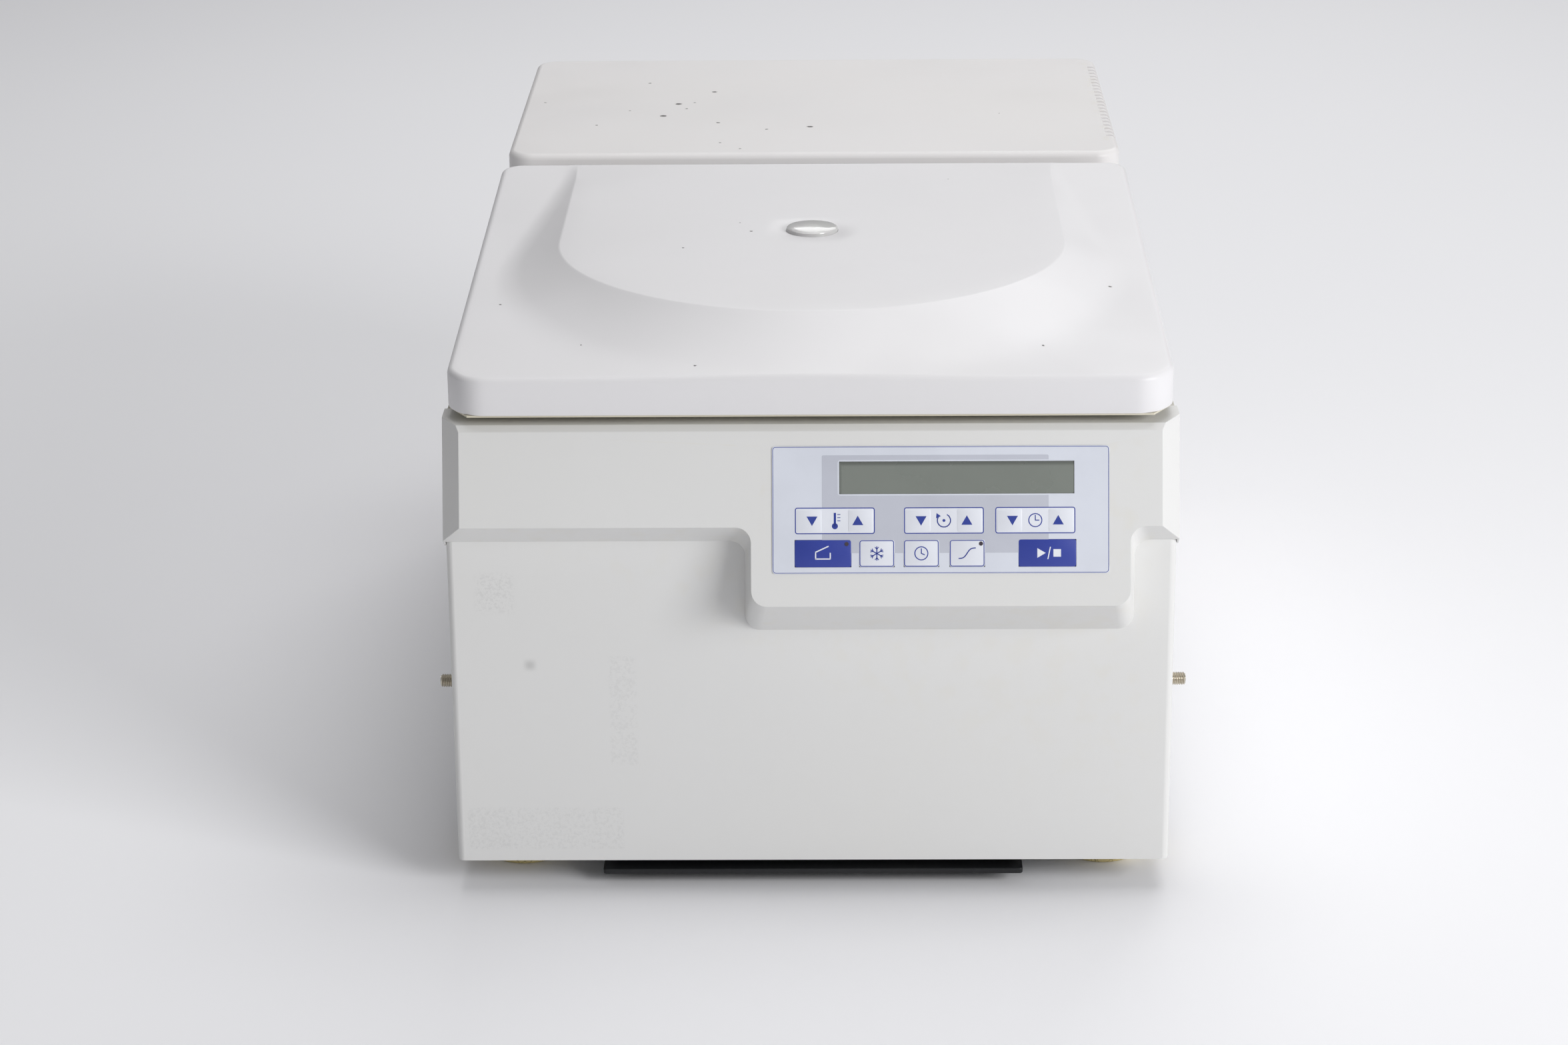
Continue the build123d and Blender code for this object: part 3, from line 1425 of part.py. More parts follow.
# Finned condenser behind the louvres, with the fan on its inner face.
condenser_width = 24.0
condenser_depth = 156.0
condenser_height = 148.0
condenser_stand = 42.0
condenser_margin = 23.0
condenser_gap = 4.5
condenser_x = rear_half - rear_wall - condenser_gap - condenser_width
condenser_y = back_y - condenser_margin - condenser_depth
condenser_low_z = pan_z + condenser_stand
condenser_top_z = condenser_low_z + condenser_height
fin_count = 20
fin_gap = 4.6
fin_slot_depth = 9.0
fin_pitch = (condenser_top_z - condenser_low_z - 6) / fin_count
with BuildPart() as condenser:
    with BuildSketch(side_plane(condenser_x)):
        with Locations((condenser_y, condenser_low_z)):
            Rectangle(
                condenser_depth, condenser_top_z - condenser_low_z, align=(Align.MIN, Align.MIN)
            )
        for y in (condenser_y, condenser_y + condenser_depth - 4):
            with Locations((y, pan_z)):
                Rectangle(4, condenser_low_z - pan_z, align=(Align.MIN, Align.MIN))
    extrude(amount=condenser_width)
    for i in range(fin_count):
        low = condenser_low_z + 4 + i * fin_pitch
        for x in (condenser_x, condenser_x + condenser_width - fin_slot_depth):
            with BuildSketch(floor_plane(low)):
                with Locations((x, condenser_y + 4)):
                    Rectangle(fin_slot_depth, condenser_depth - 8, align=(Align.MIN, Align.MIN))
            extrude(amount=fin_gap, mode=Mode.SUBTRACT)
condenser.part.label = "condenser"
export_step(condenser.part, "parts/condenser.step")

fan_size = 120.0
fan_thickness = 25.0
fan_bore = 57.5
fan_y = condenser_y + condenser_depth / 2
fan_z = (condenser_low_z + condenser_top_z) / 2
fan_hub = 18.0
strut = 4.0
fan_x = condenser_x - fan_thickness
with BuildPart() as fan_frame:
    with BuildSketch(side_plane(fan_x)):
        with Locations((fan_y, fan_z)):
            RectangleRounded(fan_size, fan_size, 5)
            Circle(fan_bore, mode=Mode.SUBTRACT)
    extrude(amount=fan_thickness)
    with BuildSketch(side_plane(fan_x)):
        with Locations((fan_y, fan_z)):
            Circle(fan_hub - 1)
            Rectangle(2 * fan_bore + 2, strut)
            Rectangle(strut, 2 * fan_bore + 2)
    extrude(amount=3)
fan_frame.part.label = "fan_frame"
export_step(fan_frame.part, "parts/fan_frame.step")

blade_count = 7
blade_pitch_angle = 35.0
fan_tip = 55.0
blade_chord = 26.0
blade_thickness = 1.6
with BuildPart() as fan_impeller:
    with BuildSketch(side_plane(fan_x + 3 + slip)):
        with Locations((fan_y, fan_z)):
            Circle(fan_hub)
    extrude(amount=fan_thickness - 4)
    for i in range(blade_count):
        turn = 360 / blade_count * i
        middle_x = fan_x + fan_thickness / 2 + 1
        blade_plane = Plane(
            Location((middle_x, fan_y, fan_z)) * Location((0, 0, 0), (turn, 0, 0))
        ).offset(fan_hub - 2)
        with BuildSketch(blade_plane):
            Rectangle(blade_chord, blade_thickness, rotation=90 - blade_pitch_angle)
        extrude(amount=fan_tip - fan_hub + 2)
fan_impeller.part.label = "fan_impeller"
export_step(fan_impeller.part, "parts/fan_impeller.step")

# Copper lines: one over the fan to the condenser, one from the chamber's coil to the compressor.
line_radius = 4.0
bend_radius = 16.0
line_rise = 16.0
suction_rise = 19.0
line_z = condenser_top_z + line_rise
suction_z = can_top_z + suction_rise
discharge_offset = 24.0
discharge_x = compressor_x + discharge_offset
discharge_z = can_top_z - dome_curve + sqrt(dome_curve**2 - (discharge_offset - line_radius) ** 2)
chamber_exit_y = rotor_y + sqrt(foam_outer**2 - compressor_x**2) + 2.5
with BuildPart() as refrigerant_lines:
    with BuildLine() as discharge:
        FilletPolyline(
            (discharge_x, compressor_y, discharge_z + 0.1),
            (discharge_x, compressor_y, line_z),
            (condenser_x + condenser_width / 2, compressor_y, line_z),
            (condenser_x + condenser_width / 2, compressor_y, condenser_top_z + 0.1),
            radius=bend_radius - 2,
        )
    with BuildSketch(Plane(discharge.line @ 0, z_dir=discharge.line % 0)):
        Circle(line_radius)
    sweep()
    with BuildLine() as suction:
        FilletPolyline(
            (compressor_x, chamber_exit_y, suction_z),
            (compressor_x, compressor_y, suction_z),
            (compressor_x, compressor_y, can_top_z + 0.2),
            radius=bend_radius,
        )
    with BuildSketch(Plane(suction.line @ 0, z_dir=suction.line % 0)):
        Circle(line_radius)
    sweep()
refrigerant_lines.part.label = "refrigerant_lines"
export_step(refrigerant_lines.part, "parts/refrigerant_lines.step")

# Drive electronics on spacers beside the motor, with heat sink and capacitors.
power_x = -114.0
power_place = 150.0
power_width = 52.0
power_length = 150.0
spacer_height = 7.0
spacer_radius = 3.0
spacer_inset = 5.0
capacitor_radius = 11.0
capacitor_height = 34.0
capacitor_spacing = 24.0
capacitor_shift = 40.0
sink_width = 44.0
sink_length = 60.0
sink_shift = 36.0
sink_thickness = 5.0
sink_fin = 2.0
sink_fin_height = 22.0
sink_fin_count = 6
sink_fin_pitch = 7.0
power_y = front_y + power_place
with BuildPart() as power_board:
    board_z = pan_z + spacer_height
    with BuildSketch(floor_plane(board_z)):
        with Locations((power_x, power_y)):
            Rectangle(power_width, power_length)
    extrude(amount=board_thickness)
    with BuildSketch(floor_plane(pan_z)):
        with Locations((power_x, power_y)):
            with GridLocations(power_width - 2 * spacer_inset, power_length - 2 * spacer_inset, 2, 2):
                Circle(spacer_radius)
    extrude(amount=spacer_height)
    with BuildSketch(floor_plane(board_z + board_thickness)):
        with Locations((power_x, power_y + capacitor_shift)):
            with GridLocations(capacitor_spacing, 1, 2, 1):
                Circle(capacitor_radius)
    extrude(amount=capacitor_height)
    with BuildSketch(floor_plane(board_z + board_thickness)):
        with Locations((power_x, power_y - sink_shift)):
            Rectangle(sink_width, sink_length)
    extrude(amount=sink_thickness)
    with BuildSketch(floor_plane(board_z + board_thickness + sink_thickness)):
        with Locations((power_x, power_y - sink_shift)):
            with GridLocations(sink_fin_pitch, 1, sink_fin_count, 1):
                Rectangle(sink_fin, sink_length)
    extrude(amount=sink_fin_height)
power_board.part.label = "power_board"
export_step(power_board.part, "parts/power_board.step")
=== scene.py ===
"""Dressed model of a cooled bench microcentrifuge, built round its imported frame."""

import json
import logging
import math
from dataclasses import dataclass, field
from enum import Enum
from typing import Callable, Optional, Sequence, Union

import bpy
from mathutils import Matrix, Vector

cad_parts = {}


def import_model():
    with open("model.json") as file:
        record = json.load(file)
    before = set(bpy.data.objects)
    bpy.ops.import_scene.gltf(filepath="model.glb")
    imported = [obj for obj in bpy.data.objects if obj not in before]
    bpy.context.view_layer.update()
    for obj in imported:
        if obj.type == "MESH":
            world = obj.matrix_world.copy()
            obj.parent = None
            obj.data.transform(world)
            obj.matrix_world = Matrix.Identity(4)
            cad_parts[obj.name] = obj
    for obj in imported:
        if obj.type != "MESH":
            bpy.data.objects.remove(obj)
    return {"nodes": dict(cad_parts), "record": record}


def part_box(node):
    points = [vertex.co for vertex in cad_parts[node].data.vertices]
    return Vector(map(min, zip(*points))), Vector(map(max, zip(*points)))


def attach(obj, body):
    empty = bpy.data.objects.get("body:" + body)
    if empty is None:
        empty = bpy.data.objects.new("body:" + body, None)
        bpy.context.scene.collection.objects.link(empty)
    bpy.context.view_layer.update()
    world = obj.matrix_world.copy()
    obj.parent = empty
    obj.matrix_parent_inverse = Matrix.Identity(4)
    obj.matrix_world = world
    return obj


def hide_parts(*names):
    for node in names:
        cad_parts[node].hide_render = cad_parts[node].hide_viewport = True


MM = 0.001
FRONT_Y = -250.003
LOG = logging.getLogger("microcentrifuge")
Point = tuple[float, float, float]
Flat = tuple[float, float]
Shade = tuple[float, float, float, float]
Box = tuple[float, float, float, float]
Socket = bpy.types.NodeSocket
Value = Union[float, Shade, Socket]


def shade(red: int, green: int, blue: int) -> Shade:
    """Linear colour of an 8-bit shade.

    Args:
        red: Red from 0 to 255.
        green: Green from 0 to 255.
        blue: Blue from 0 to 255.

    Returns:
        The colour with full alpha.
    """

    def linear(value: int) -> float:
        """One channel in linear light."""
        c = value / 255
        return c / 12.92 if c <= 0.04045 else ((c + 0.055) / 1.055) ** 2.4

    return (linear(red), linear(green), linear(blue), 1.0)


def deeper(tone: Shade, share: float) -> Shade:
    """A tone darkened to a share of its light."""
    return (tone[0] * share, tone[1] * share, tone[2] * share, 1.0)


def soft_min(first: float, second: float, blend: float) -> float:
    """Smaller of two heights, with the crease between them rounded over blend.

    Args:
        first: One height.
        second: The other height.
        blend: Height over which the crease is rounded.

    Returns:
        The rounded smaller height.
    """
    h = max(blend - abs(first - second), 0.0) / blend
    return min(first, second) - h * h * blend / 4


def soft_max(first: float, second: float, blend: float) -> float:
    """Larger of two heights, with the crease between them rounded over blend."""
    return -soft_min(-first, -second, blend)


@dataclass(frozen=True)
class Rounding:
    """Rounding of the sharp edges of a solid: width in millimetres, steps, edge angle and choice."""

    width: float
    segments: int = 3
    sharp: float = 33.0
    rule: Optional[Callable[[Vector], bool]] = None


# ------------------------------------------------------------------------------------- Modelling bench
class Workshop:
    """Modelling steps that the sub-assemblies share."""

    MERGE = 2e-6
    FLAT_ANGLE = 0.6
    SMOOTH_ANGLE = 38.0

    @staticmethod
    def rest() -> None:
        """Leaves edit mode and deselects everything."""
        if bpy.context.mode != "OBJECT":
            bpy.ops.object.mode_set(mode="OBJECT")
        bpy.ops.object.select_all(action="DESELECT")

    @staticmethod
    def hold(piece: bpy.types.Object) -> None:
        """Makes one piece the only selected and active one.

        Args:
            piece: The piece.
        """
        Workshop.rest()
        piece.select_set(True)
        bpy.context.view_layer.objects.active = piece

    @staticmethod
    def named(piece: bpy.types.Object, name: str) -> bpy.types.Object:
        """Names a piece and its mesh, and puts its place into its mesh.

        Args:
            piece: The object to settle.
            name: Its new name.

        Returns:
            The same object.
        """
        piece.name = name
        piece.data.name = name
        Workshop.hold(piece)
        bpy.ops.object.transform_apply(location=True, rotation=True, scale=True)
        return piece

    @staticmethod
    def edit(piece: bpy.types.Object, everything: bool = True) -> None:
        """Enters edit mode with all or none of a piece selected.

        Args:
            piece: The piece to edit.
            everything: Whether all of it is selected.
        """
        Workshop.hold(piece)
        bpy.ops.object.mode_set(mode="EDIT")
        bpy.ops.mesh.select_mode(type="VERT")
        bpy.ops.mesh.select_all(action="SELECT" if everything else "DESELECT")

    @staticmethod
    def edit_faces(piece: bpy.types.Object, rule: Callable[[Vector, Vector], bool]) -> None:
        """Enters edit mode with the faces selected whose centre and normal meet a rule.

        Args:
            piece: The piece to edit.
            rule: Test on a face's centre and normal.
        """
        Workshop.edit(piece, everything=False)
        bpy.ops.mesh.select_mode(type="FACE")
        bpy.ops.object.mode_set(mode="OBJECT")
        for face in piece.data.polygons:
            face.select = rule(face.center, face.normal)
        bpy.ops.object.mode_set(mode="EDIT")

    @staticmethod
    def stitch(piece: bpy.types.Object, reach: float = 1e-6) -> None:
        """Merges the doubles of a piece and turns its faces outwards.

        Args:
            piece: The piece.
            reach: Distance in metres under which points are merged.
        """
        Workshop.edit(piece)
        bpy.ops.mesh.remove_doubles(threshold=reach)
        bpy.ops.mesh.normals_make_consistent(inside=False)
        Workshop.rest()

    @staticmethod
    def smooth(piece: bpy.types.Object, angle: float = 32.0) -> None:
        """Shades a piece smoothly up to an edge angle in degrees."""
        Workshop.hold(piece)
        bpy.ops.object.shade_smooth_by_angle(angle=math.radians(angle))

    @staticmethod
    def modify(piece: bpy.types.Object, kind: str, **settings: object) -> None:
        """Adds a modifier with its settings and applies it.

        Args:
            piece: The piece to change.
            kind: Type of the modifier.
            settings: Values of its properties.
        """
        Workshop.hold(piece)
        modifier = piece.modifiers.new(kind.lower(), kind)
        for key, value in settings.items():
            setattr(modifier, key, value)
        bpy.ops.object.modifier_apply(modifier=modifier.name)

    @staticmethod
    def cut(piece: bpy.types.Object, cutter: bpy.types.Object) -> None:
        """Cuts one piece out of another.

        Args:
            piece: The piece to change.
            cutter: The piece to cut out of it, which is used up.
        """
        Workshop.modify(piece, "BOOLEAN", operation="DIFFERENCE", object=cutter, solver="EXACT")
        bpy.data.objects.remove(cutter)

    @staticmethod
    def loft(name: str, rings: Sequence[Sequence[Point]], closed: bool = False) -> bpy.types.Object:
        """Skins rings of equal count, given in millimetres, into one mesh.

        Args:
            name: Name of the piece.
            rings: The rings in order, each a closed loop of points.
            closed: Whether the last ring joins the first.

        Returns:
            The new piece.
        """
        around, rows = len(rings[0]), len(rings) - (0 if closed else 1)
        Workshop.rest()
        bpy.ops.mesh.primitive_grid_add(x_subdivisions=around, y_subdivisions=rows, size=2.0)
        piece = bpy.context.object
        for vertex in piece.data.vertices:
            column = round((vertex.co.x + 1) / 2 * around) % around
            row = round((vertex.co.y + 1) / 2 * rows) % len(rings)
            vertex.co = Vector(rings[row][column]) * MM
        Workshop.named(piece, name)
        Workshop.stitch(piece)
        Workshop.smooth(piece)
        return piece

    @staticmethod
    def turned(
        name: str, profile: Sequence[Flat], centre: Flat, count: int = 64, closed: bool = True
    ) -> bpy.types.Object:
        """Turns a profile of radius and height, in millimetres, about an upright axis.

        Args:
            name: Name of the piece.
            profile: Radius and height of each station.
            centre: Place of the axis in x and y.
            count: Steps round the axis.
            closed: Whether the last station joins the first.

        Returns:
            The new piece.
        """
        steps = [2 * math.pi * i / count for i in range(count)]
        rings = [
            [(centre[0] + r * math.cos(a), centre[1] + r * math.sin(a), z) for a in steps]
            for r, z in profile
        ]
        return Workshop.loft(name, rings, closed)

    @staticmethod
    def joined(name: str, parts: Sequence[bpy.types.Object]) -> bpy.types.Object:
        """Joins several objects into one piece.

        Args:
            name: Name of the piece.
            parts: The objects, which are used up.

        Returns:
            The joined piece.
        """
        Workshop.rest()
        for part in parts:
            part.select_set(True)
        bpy.context.view_layer.objects.active = parts[0]
        bpy.ops.object.join()
        return Workshop.named(parts[0], name)

    @staticmethod
    def softened(
        source: bpy.types.Object, name: str, roundings: Sequence["Rounding"]
    ) -> bpy.types.Object:
        """A merged copy of a solid with its sharp edges rounded.

        Args:
            source: The solid to copy, which stays as it is.
            name: Name of the new piece.
            roundings: The roundings to give it, one after the other.

        Returns:
            The new piece.
        """
        piece = bpy.data.objects.new(name, source.data.copy())
        bpy.context.collection.objects.link(piece)
        piece.data.name = name
        piece.data.materials.clear()
        Workshop.hold(piece)
        if piece.data.has_custom_normals:
            bpy.ops.mesh.customdata_custom_splitnormals_clear()
        Workshop.edit(piece)
        bpy.ops.mesh.remove_doubles(threshold=Workshop.MERGE)
        bpy.ops.mesh.mark_sharp(clear=True)
        bpy.ops.mesh.dissolve_limited(angle_limit=math.radians(Workshop.FLAT_ANGLE), delimit=set())
        for rounding in roundings:
            bpy.ops.mesh.select_all(action="DESELECT")
            bpy.ops.mesh.select_mode(type="EDGE")
            bpy.ops.mesh.edges_select_sharp(sharpness=math.radians(rounding.sharp))
            if rounding.rule:
                bpy.ops.object.mode_set(mode="OBJECT")
                points = [v.co for v in piece.data.vertices]
                for edge in piece.data.edges:
                    middle = (points[edge.vertices[0]] + points[edge.vertices[1]]) / 2
                    edge.select = edge.select and rounding.rule(middle / MM)
                bpy.ops.object.mode_set(mode="EDIT")
            bpy.ops.mesh.bevel(
                offset=rounding.width * MM, segments=rounding.segments, profile=0.5, clamp_overlap=True
            )
        Workshop.rest()
        Workshop.smooth(piece, Workshop.SMOOTH_ANGLE)
        Workshop.modify(piece, "WEIGHTED_NORMAL", mode="FACE_AREA", weight=50, keep_sharp=True)
        return piece


# ------------------------------------------------------------------------------------- Finishes
DUST = shade(58, 54, 50)
WHITE_AGED = shade(216, 208, 182)


class NodeDesk:
    """Adds and links the nodes of one material."""

    def __init__(self, name: str) -> None:
        """Starts a material with one shader.

        Args:
            name: Name of the material.
        """
        self.material = bpy.data.materials.new(f"{name}_finish")
        self.material.use_nodes = True
        self.tree = self.material.node_tree
        self.tree.nodes.clear()
        end = self.tree.nodes.new("ShaderNodeOutputMaterial")
        self.shader = self.tree.nodes.new("ShaderNodeBsdfPrincipled")
        self.tree.links.new(self.shader.outputs["BSDF"], end.inputs["Surface"])
        self.place = self.tree.nodes.new("ShaderNodeTexCoord").outputs["Object"]

    def node(self, kind: str, inputs: dict[object, object], **settings: object) -> bpy.types.Node:
        """Adds a node, sets its properties and feeds or sets its inputs.

        Args:
            kind: Type of the node.
            inputs: Value or socket for each input.
            settings: Values of its properties.

        Returns:
            The node.
        """
        made = self.tree.nodes.new(kind)
        for key, value in settings.items():
            setattr(made, key, value)
        for key, value in inputs.items():
            self.link(value, made.inputs[key])
        return made

    def link(self, value: Value, end: Socket) -> None:
        """Links a socket to an input, or sets the input to a value.

        Args:
            value: Value or socket.
            end: The input.
        """
        if isinstance(value, Socket):
            self.tree.links.new(value, end)
        else:
            end.default_value = value

    def maths(self, operation: str, first: Value, second: Value) -> Socket:
        """Output of one sum on two values.

        Args:
            operation: Name of the sum.
            first: First value or socket.
            second: Second value or socket.

        Returns:
            The socket of the result.
        """
        return self.node("ShaderNodeMath", {0: first, 1: second}, operation=operation).outputs[0]

    def stretch(self, scale: Point) -> Socket:
        """Object coordinates scaled along x, y and z."""
        return self.node("ShaderNodeMapping", {"Vector": self.place, "Scale": scale}).outputs[0]

    def noise(
        self, size: float, detail: float = 2.0, place: Optional[Socket] = None, rough: float = 0.5
    ) -> Socket:
        """Noise whose features are about size millimetres across.

        Args:
            size: Size of the features.
            detail: Number of finer layers.
            place: Coordinates other than the object's own.
            rough: Weight of the finer layers.

        Returns:
            The socket of the noise.
        """
        return self.node(
            "ShaderNodeTexNoise",
            {"Vector": place or self.place, "Scale": 1 / (size * MM), "Detail": detail, "Roughness": rough},
        ).outputs["Fac"]

    def cells(self, size: float) -> Socket:
        """Distance to the nearest of scattered points about size millimetres apart."""
        return self.node(
            "ShaderNodeTexVoronoi", {"Vector": self.place, "Scale": 1 / (size * MM)}
        ).outputs["Distance"]

    def ramp(
        self, value: Value, low: float, high: float, start: float = 0.0, end: float = 1.0
    ) -> Socket:
        """Maps a span of a value smoothly to start and end.

        Args:
            value: Socket to map.
            low: Value that gives start.
            high: Value that gives end.
            start: Result up to low.
            end: Result from high on.

        Returns:
            The socket of the result.
        """
        return self.node(
            "ShaderNodeMapRange",
            {"Value": value, "From Min": low, "From Max": high, "To Min": start, "To Max": end},
            interpolation_type="SMOOTHSTEP",
        ).outputs["Result"]

    def mix(self, factor: Value, first: Value, second: Value) -> Socket:
        """Mixes two colours.

        Args:
            factor: Share of the second colour.
            first: First colour or socket.
            second: Second colour or socket.

        Returns:
            The socket of the mixed colour.
        """
        made = self.node("ShaderNodeMix", {}, data_type="RGBA")
        for key, value in (("Factor_Float", factor), ("A_Color", first), ("B_Color", second)):
            self.link(value, next(s for s in made.inputs if s.identifier == key))
        return next(s for s in made.outputs if s.identifier == "Result_Color")

    def axes(self) -> tuple[Socket, Socket, Socket]:
        """Object coordinates as three values, in metres."""
        made = self.node("ShaderNodeSeparateXYZ", {"Vector": self.place})
        return made.outputs["X"], made.outputs["Y"], made.outputs["Z"]

    def window(self, value: Socket, low: float, high: float, fade: float) -> Socket:
        """1 between two places in millimetres, fading out over fade outside them.

        Args:
            value: Socket of the coordinate.
            low: Start of the span.
            high: End of the span.
            fade: Width of the fade.

        Returns:
            The socket of the window.
        """
        rise = self.ramp(value, (low - fade) * MM, low * MM)
        fall = self.ramp(value, high * MM, (high + fade) * MM, 1.0, 0.0)
        return self.maths("MULTIPLY", rise, fall)

    def scattered(self, specks: Sequence[Point]) -> Value:
        """Dust specks lying at places in x and y, each with its radius in millimetres.

        Args:
            specks: Place in x and y and radius of each speck.

        Returns:
            The socket of the specks' cover, from 0 to 1.
        """
        reach = 1.2
        wave = self.node("ShaderNodeTexNoise", {"Vector": self.place, "Scale": 900.0, "Detail": 2.0})
        moved = self.node(
            "ShaderNodeVectorMath",
            {0: wave.outputs["Color"], 1: (reach * MM, reach * MM, 0.0), 2: self.place},
            operation="MULTIPLY_ADD",
        ).outputs[0]
        flat = self.node(
            "ShaderNodeVectorMath", {0: moved, 1: (1.0, 1.0, 0.0)}, operation="MULTIPLY"
        ).outputs[0]
        dirt: Value = 0.0
        for x, y, radius in specks:
            centre = ((x + reach / 2) * MM, (y + reach / 2) * MM, 0.0)
            away = self.node(
                "ShaderNodeVectorMath", {0: flat, 1: centre}, operation="DISTANCE"
            ).outputs["Value"]
            dot = self.ramp(away, radius * 0.6 * MM, radius * 1.1 * MM, 0.95, 0.0)
            dirt = self.maths("MAXIMUM", dirt, dot)
        return dirt

    def relief(self, height: Socket, depth: float, strength: float = 1.0) -> None:
        """Feeds a bump of a depth in millimetres into the shader.

        Args:
            height: Socket of the height.
            depth: Depth of the bump.
            strength: Share of it that shows.
        """
        bump = self.node(
            "ShaderNodeBump", {"Height": height, "Distance": depth * MM, "Strength": strength}
        )
        self.tree.links.new(bump.outputs["Normal"], self.shader.inputs["Normal"])

    def feed(self, key: str, value: Value) -> None:
        """Links or sets one input of the shader."""
        self.link(value, self.shader.inputs[key])


class Direction(Enum):
    """Way in which a metal was drawn, ground or turned."""

    ALONG = (1.0, 0.02, 1.0)
    UPRIGHT = (1.0, 1.0, 0.02)
    PLAIN = (1.0, 1.0, 1.0)


@dataclass(frozen=True)
class Mark:
    """A stain: its span along each axis, depth, size of its blots (0 for a plain one) and fade."""

    x: Flat
    y: Flat
    z: Flat
    depth: float = 0.5
    size: float = 6.0
    fade: float = 2.0


@dataclass(frozen=True)
class Finish:
    """Base of all finishes."""

    name: str
    tone: Shade

    def paint(self, desk: NodeDesk) -> None:
        """Adds the finish's nodes.

        Args:
            desk: The material's nodes.

        Raises:
            NotImplementedError: On the base class.
        """
        raise NotImplementedError

    def material(self) -> bpy.types.Material:
        """The finish's material, made once.

        Returns:
            The material.
        """
        known = bpy.data.materials.get(f"{self.name}_finish")
        if known:
            return known
        desk = NodeDesk(self.name)
        self.paint(desk)
        return desk.material


@dataclass(frozen=True)
class Moulded(Finish):
    """Fine-grained moulded plastic or textured paint, with age, dust specks and stains."""

    rough: float = 0.46
    grain: float = 0.7
    relief: float = 0.035
    aged: Shade = WHITE_AGED
    ageing: float = 0.25
    specks: tuple[Point, ...] = ()
    marks: tuple[Mark, ...] = ()
    patch_size: float = 140.0
    wear_size: float = 9.0
    smear_size: float = 55.0
    shine: float = 0.35

    def paint(self, desk: NodeDesk) -> None:
        """Adds the finish's nodes.

        Args:
            desk: The material's nodes.
        """
        patches = desk.noise(self.patch_size, 3.0)
        colour = desk.mix(
            desk.ramp(patches, 0.35, 0.7, 0.0, self.ageing * 0.35), self.tone, self.aged
        )
        edge = desk.node("ShaderNodeNewGeometry", {}).outputs["Pointiness"]
        worn = desk.maths(
            "MULTIPLY", desk.ramp(edge, 0.53, 0.62), desk.ramp(desk.noise(self.wear_size), 0.45, 0.7)
        )
        colour = desk.mix(desk.maths("MULTIPLY", worn, self.ageing), colour, self.aged)
        colour = self.stained(desk, colour)
        if self.specks:
            colour = desk.mix(desk.scattered(self.specks), colour, DUST)
        desk.feed("Base Color", colour)
        smear = desk.noise(self.smear_size, 4.0)
        desk.feed("Roughness", desk.ramp(smear, 0.3, 0.75, self.rough - 0.06, self.rough + 0.08))
        desk.feed("Specular IOR Level", self.shine)
        desk.relief(desk.noise(self.grain, 2.0), self.relief, 0.35)

    def stained(self, desk: NodeDesk, colour: Socket) -> Socket:
        """Lays the stains over a colour.

        Args:
            desk: The material's nodes.
            colour: Socket of the clean colour.

        Returns:
            The socket of the stained colour.
        """
        soil = deeper(self.tone, 0.62)
        for mark in self.marks:
            cover: Value = mark.depth
            for place, span in zip(desk.axes(), (mark.x, mark.y, mark.z)):
                cover = desk.maths("MULTIPLY", cover, desk.window(place, *span, mark.fade))
            if mark.size:
                blot = desk.ramp(desk.noise(mark.size, 6.0, rough=0.75), 0.47, 0.6)
                cover = desk.maths("MULTIPLY", cover, blot)
            colour = desk.mix(cover, colour, soil)
        return colour


@dataclass(frozen=True)
class Metal(Finish):
    """Drawn, brushed, turned or plated metal."""

    rough: float = 0.32
    way: Direction = Direction.PLAIN
    metallic: float = 1.0
    tarnish: float = 0.25
    line_size: float = 0.35
    line_depth: float = 0.01
    cloud_size: float = 24.0

    def paint(self, desk: NodeDesk) -> None:
        """Adds the finish's nodes.

        Args:
            desk: The material's nodes.
        """
        lines = desk.noise(self.line_size, 3.0, desk.stretch(self.way.value))
        clouds = desk.noise(self.cloud_size, 4.0)
        dull = deeper(self.tone, 0.55)
        desk.feed(
            "Base Color", desk.mix(desk.ramp(clouds, 0.4, 0.75, 0.0, self.tarnish), self.tone, dull)
        )
        desk.feed("Metallic", self.metallic)
        desk.feed("Roughness", desk.ramp(lines, 0.25, 0.75, self.rough - 0.07, self.rough + 0.1))
        desk.relief(lines, self.line_depth, 0.3)


@dataclass(frozen=True)
class Rubber(Finish):
    """Matt rubber with fine cracks and worn patches."""

    cracks: float = 0.0
    worn: Shade = shade(120, 112, 96)
    cloud_size: float = 8.0
    crack_size: float = 5.0
    grain: float = 0.8
    relief: float = 0.12
    shine: float = 0.35

    def paint(self, desk: NodeDesk) -> None:
        """Adds the finish's nodes.

        Args:
            desk: The material's nodes.
        """
        clouds = desk.noise(self.cloud_size, 5.0, rough=0.65)
        colour = desk.mix(desk.ramp(clouds, 0.42, 0.7, 0.0, 0.55), self.tone, self.worn)
        lines = desk.node(
            "ShaderNodeTexVoronoi",
            {"Vector": desk.stretch((1.0, 1.0, 0.45)), "Scale": 1 / (self.crack_size * MM)},
            feature="DISTANCE_TO_EDGE",
        ).outputs["Distance"]
        split = desk.ramp(lines, 0.0, 0.035, self.cracks, 0.0)
        dark = deeper(self.tone, 0.35)
        desk.feed("Base Color", desk.mix(split, colour, dark))
        desk.feed("Roughness", desk.ramp(clouds, 0.3, 0.7, 0.62, 0.82))
        desk.feed("Specular IOR Level", self.shine)
        height = desk.maths("SUBTRACT", desk.noise(self.grain, 3.0), split)
        desk.relief(height, self.relief, 0.5)


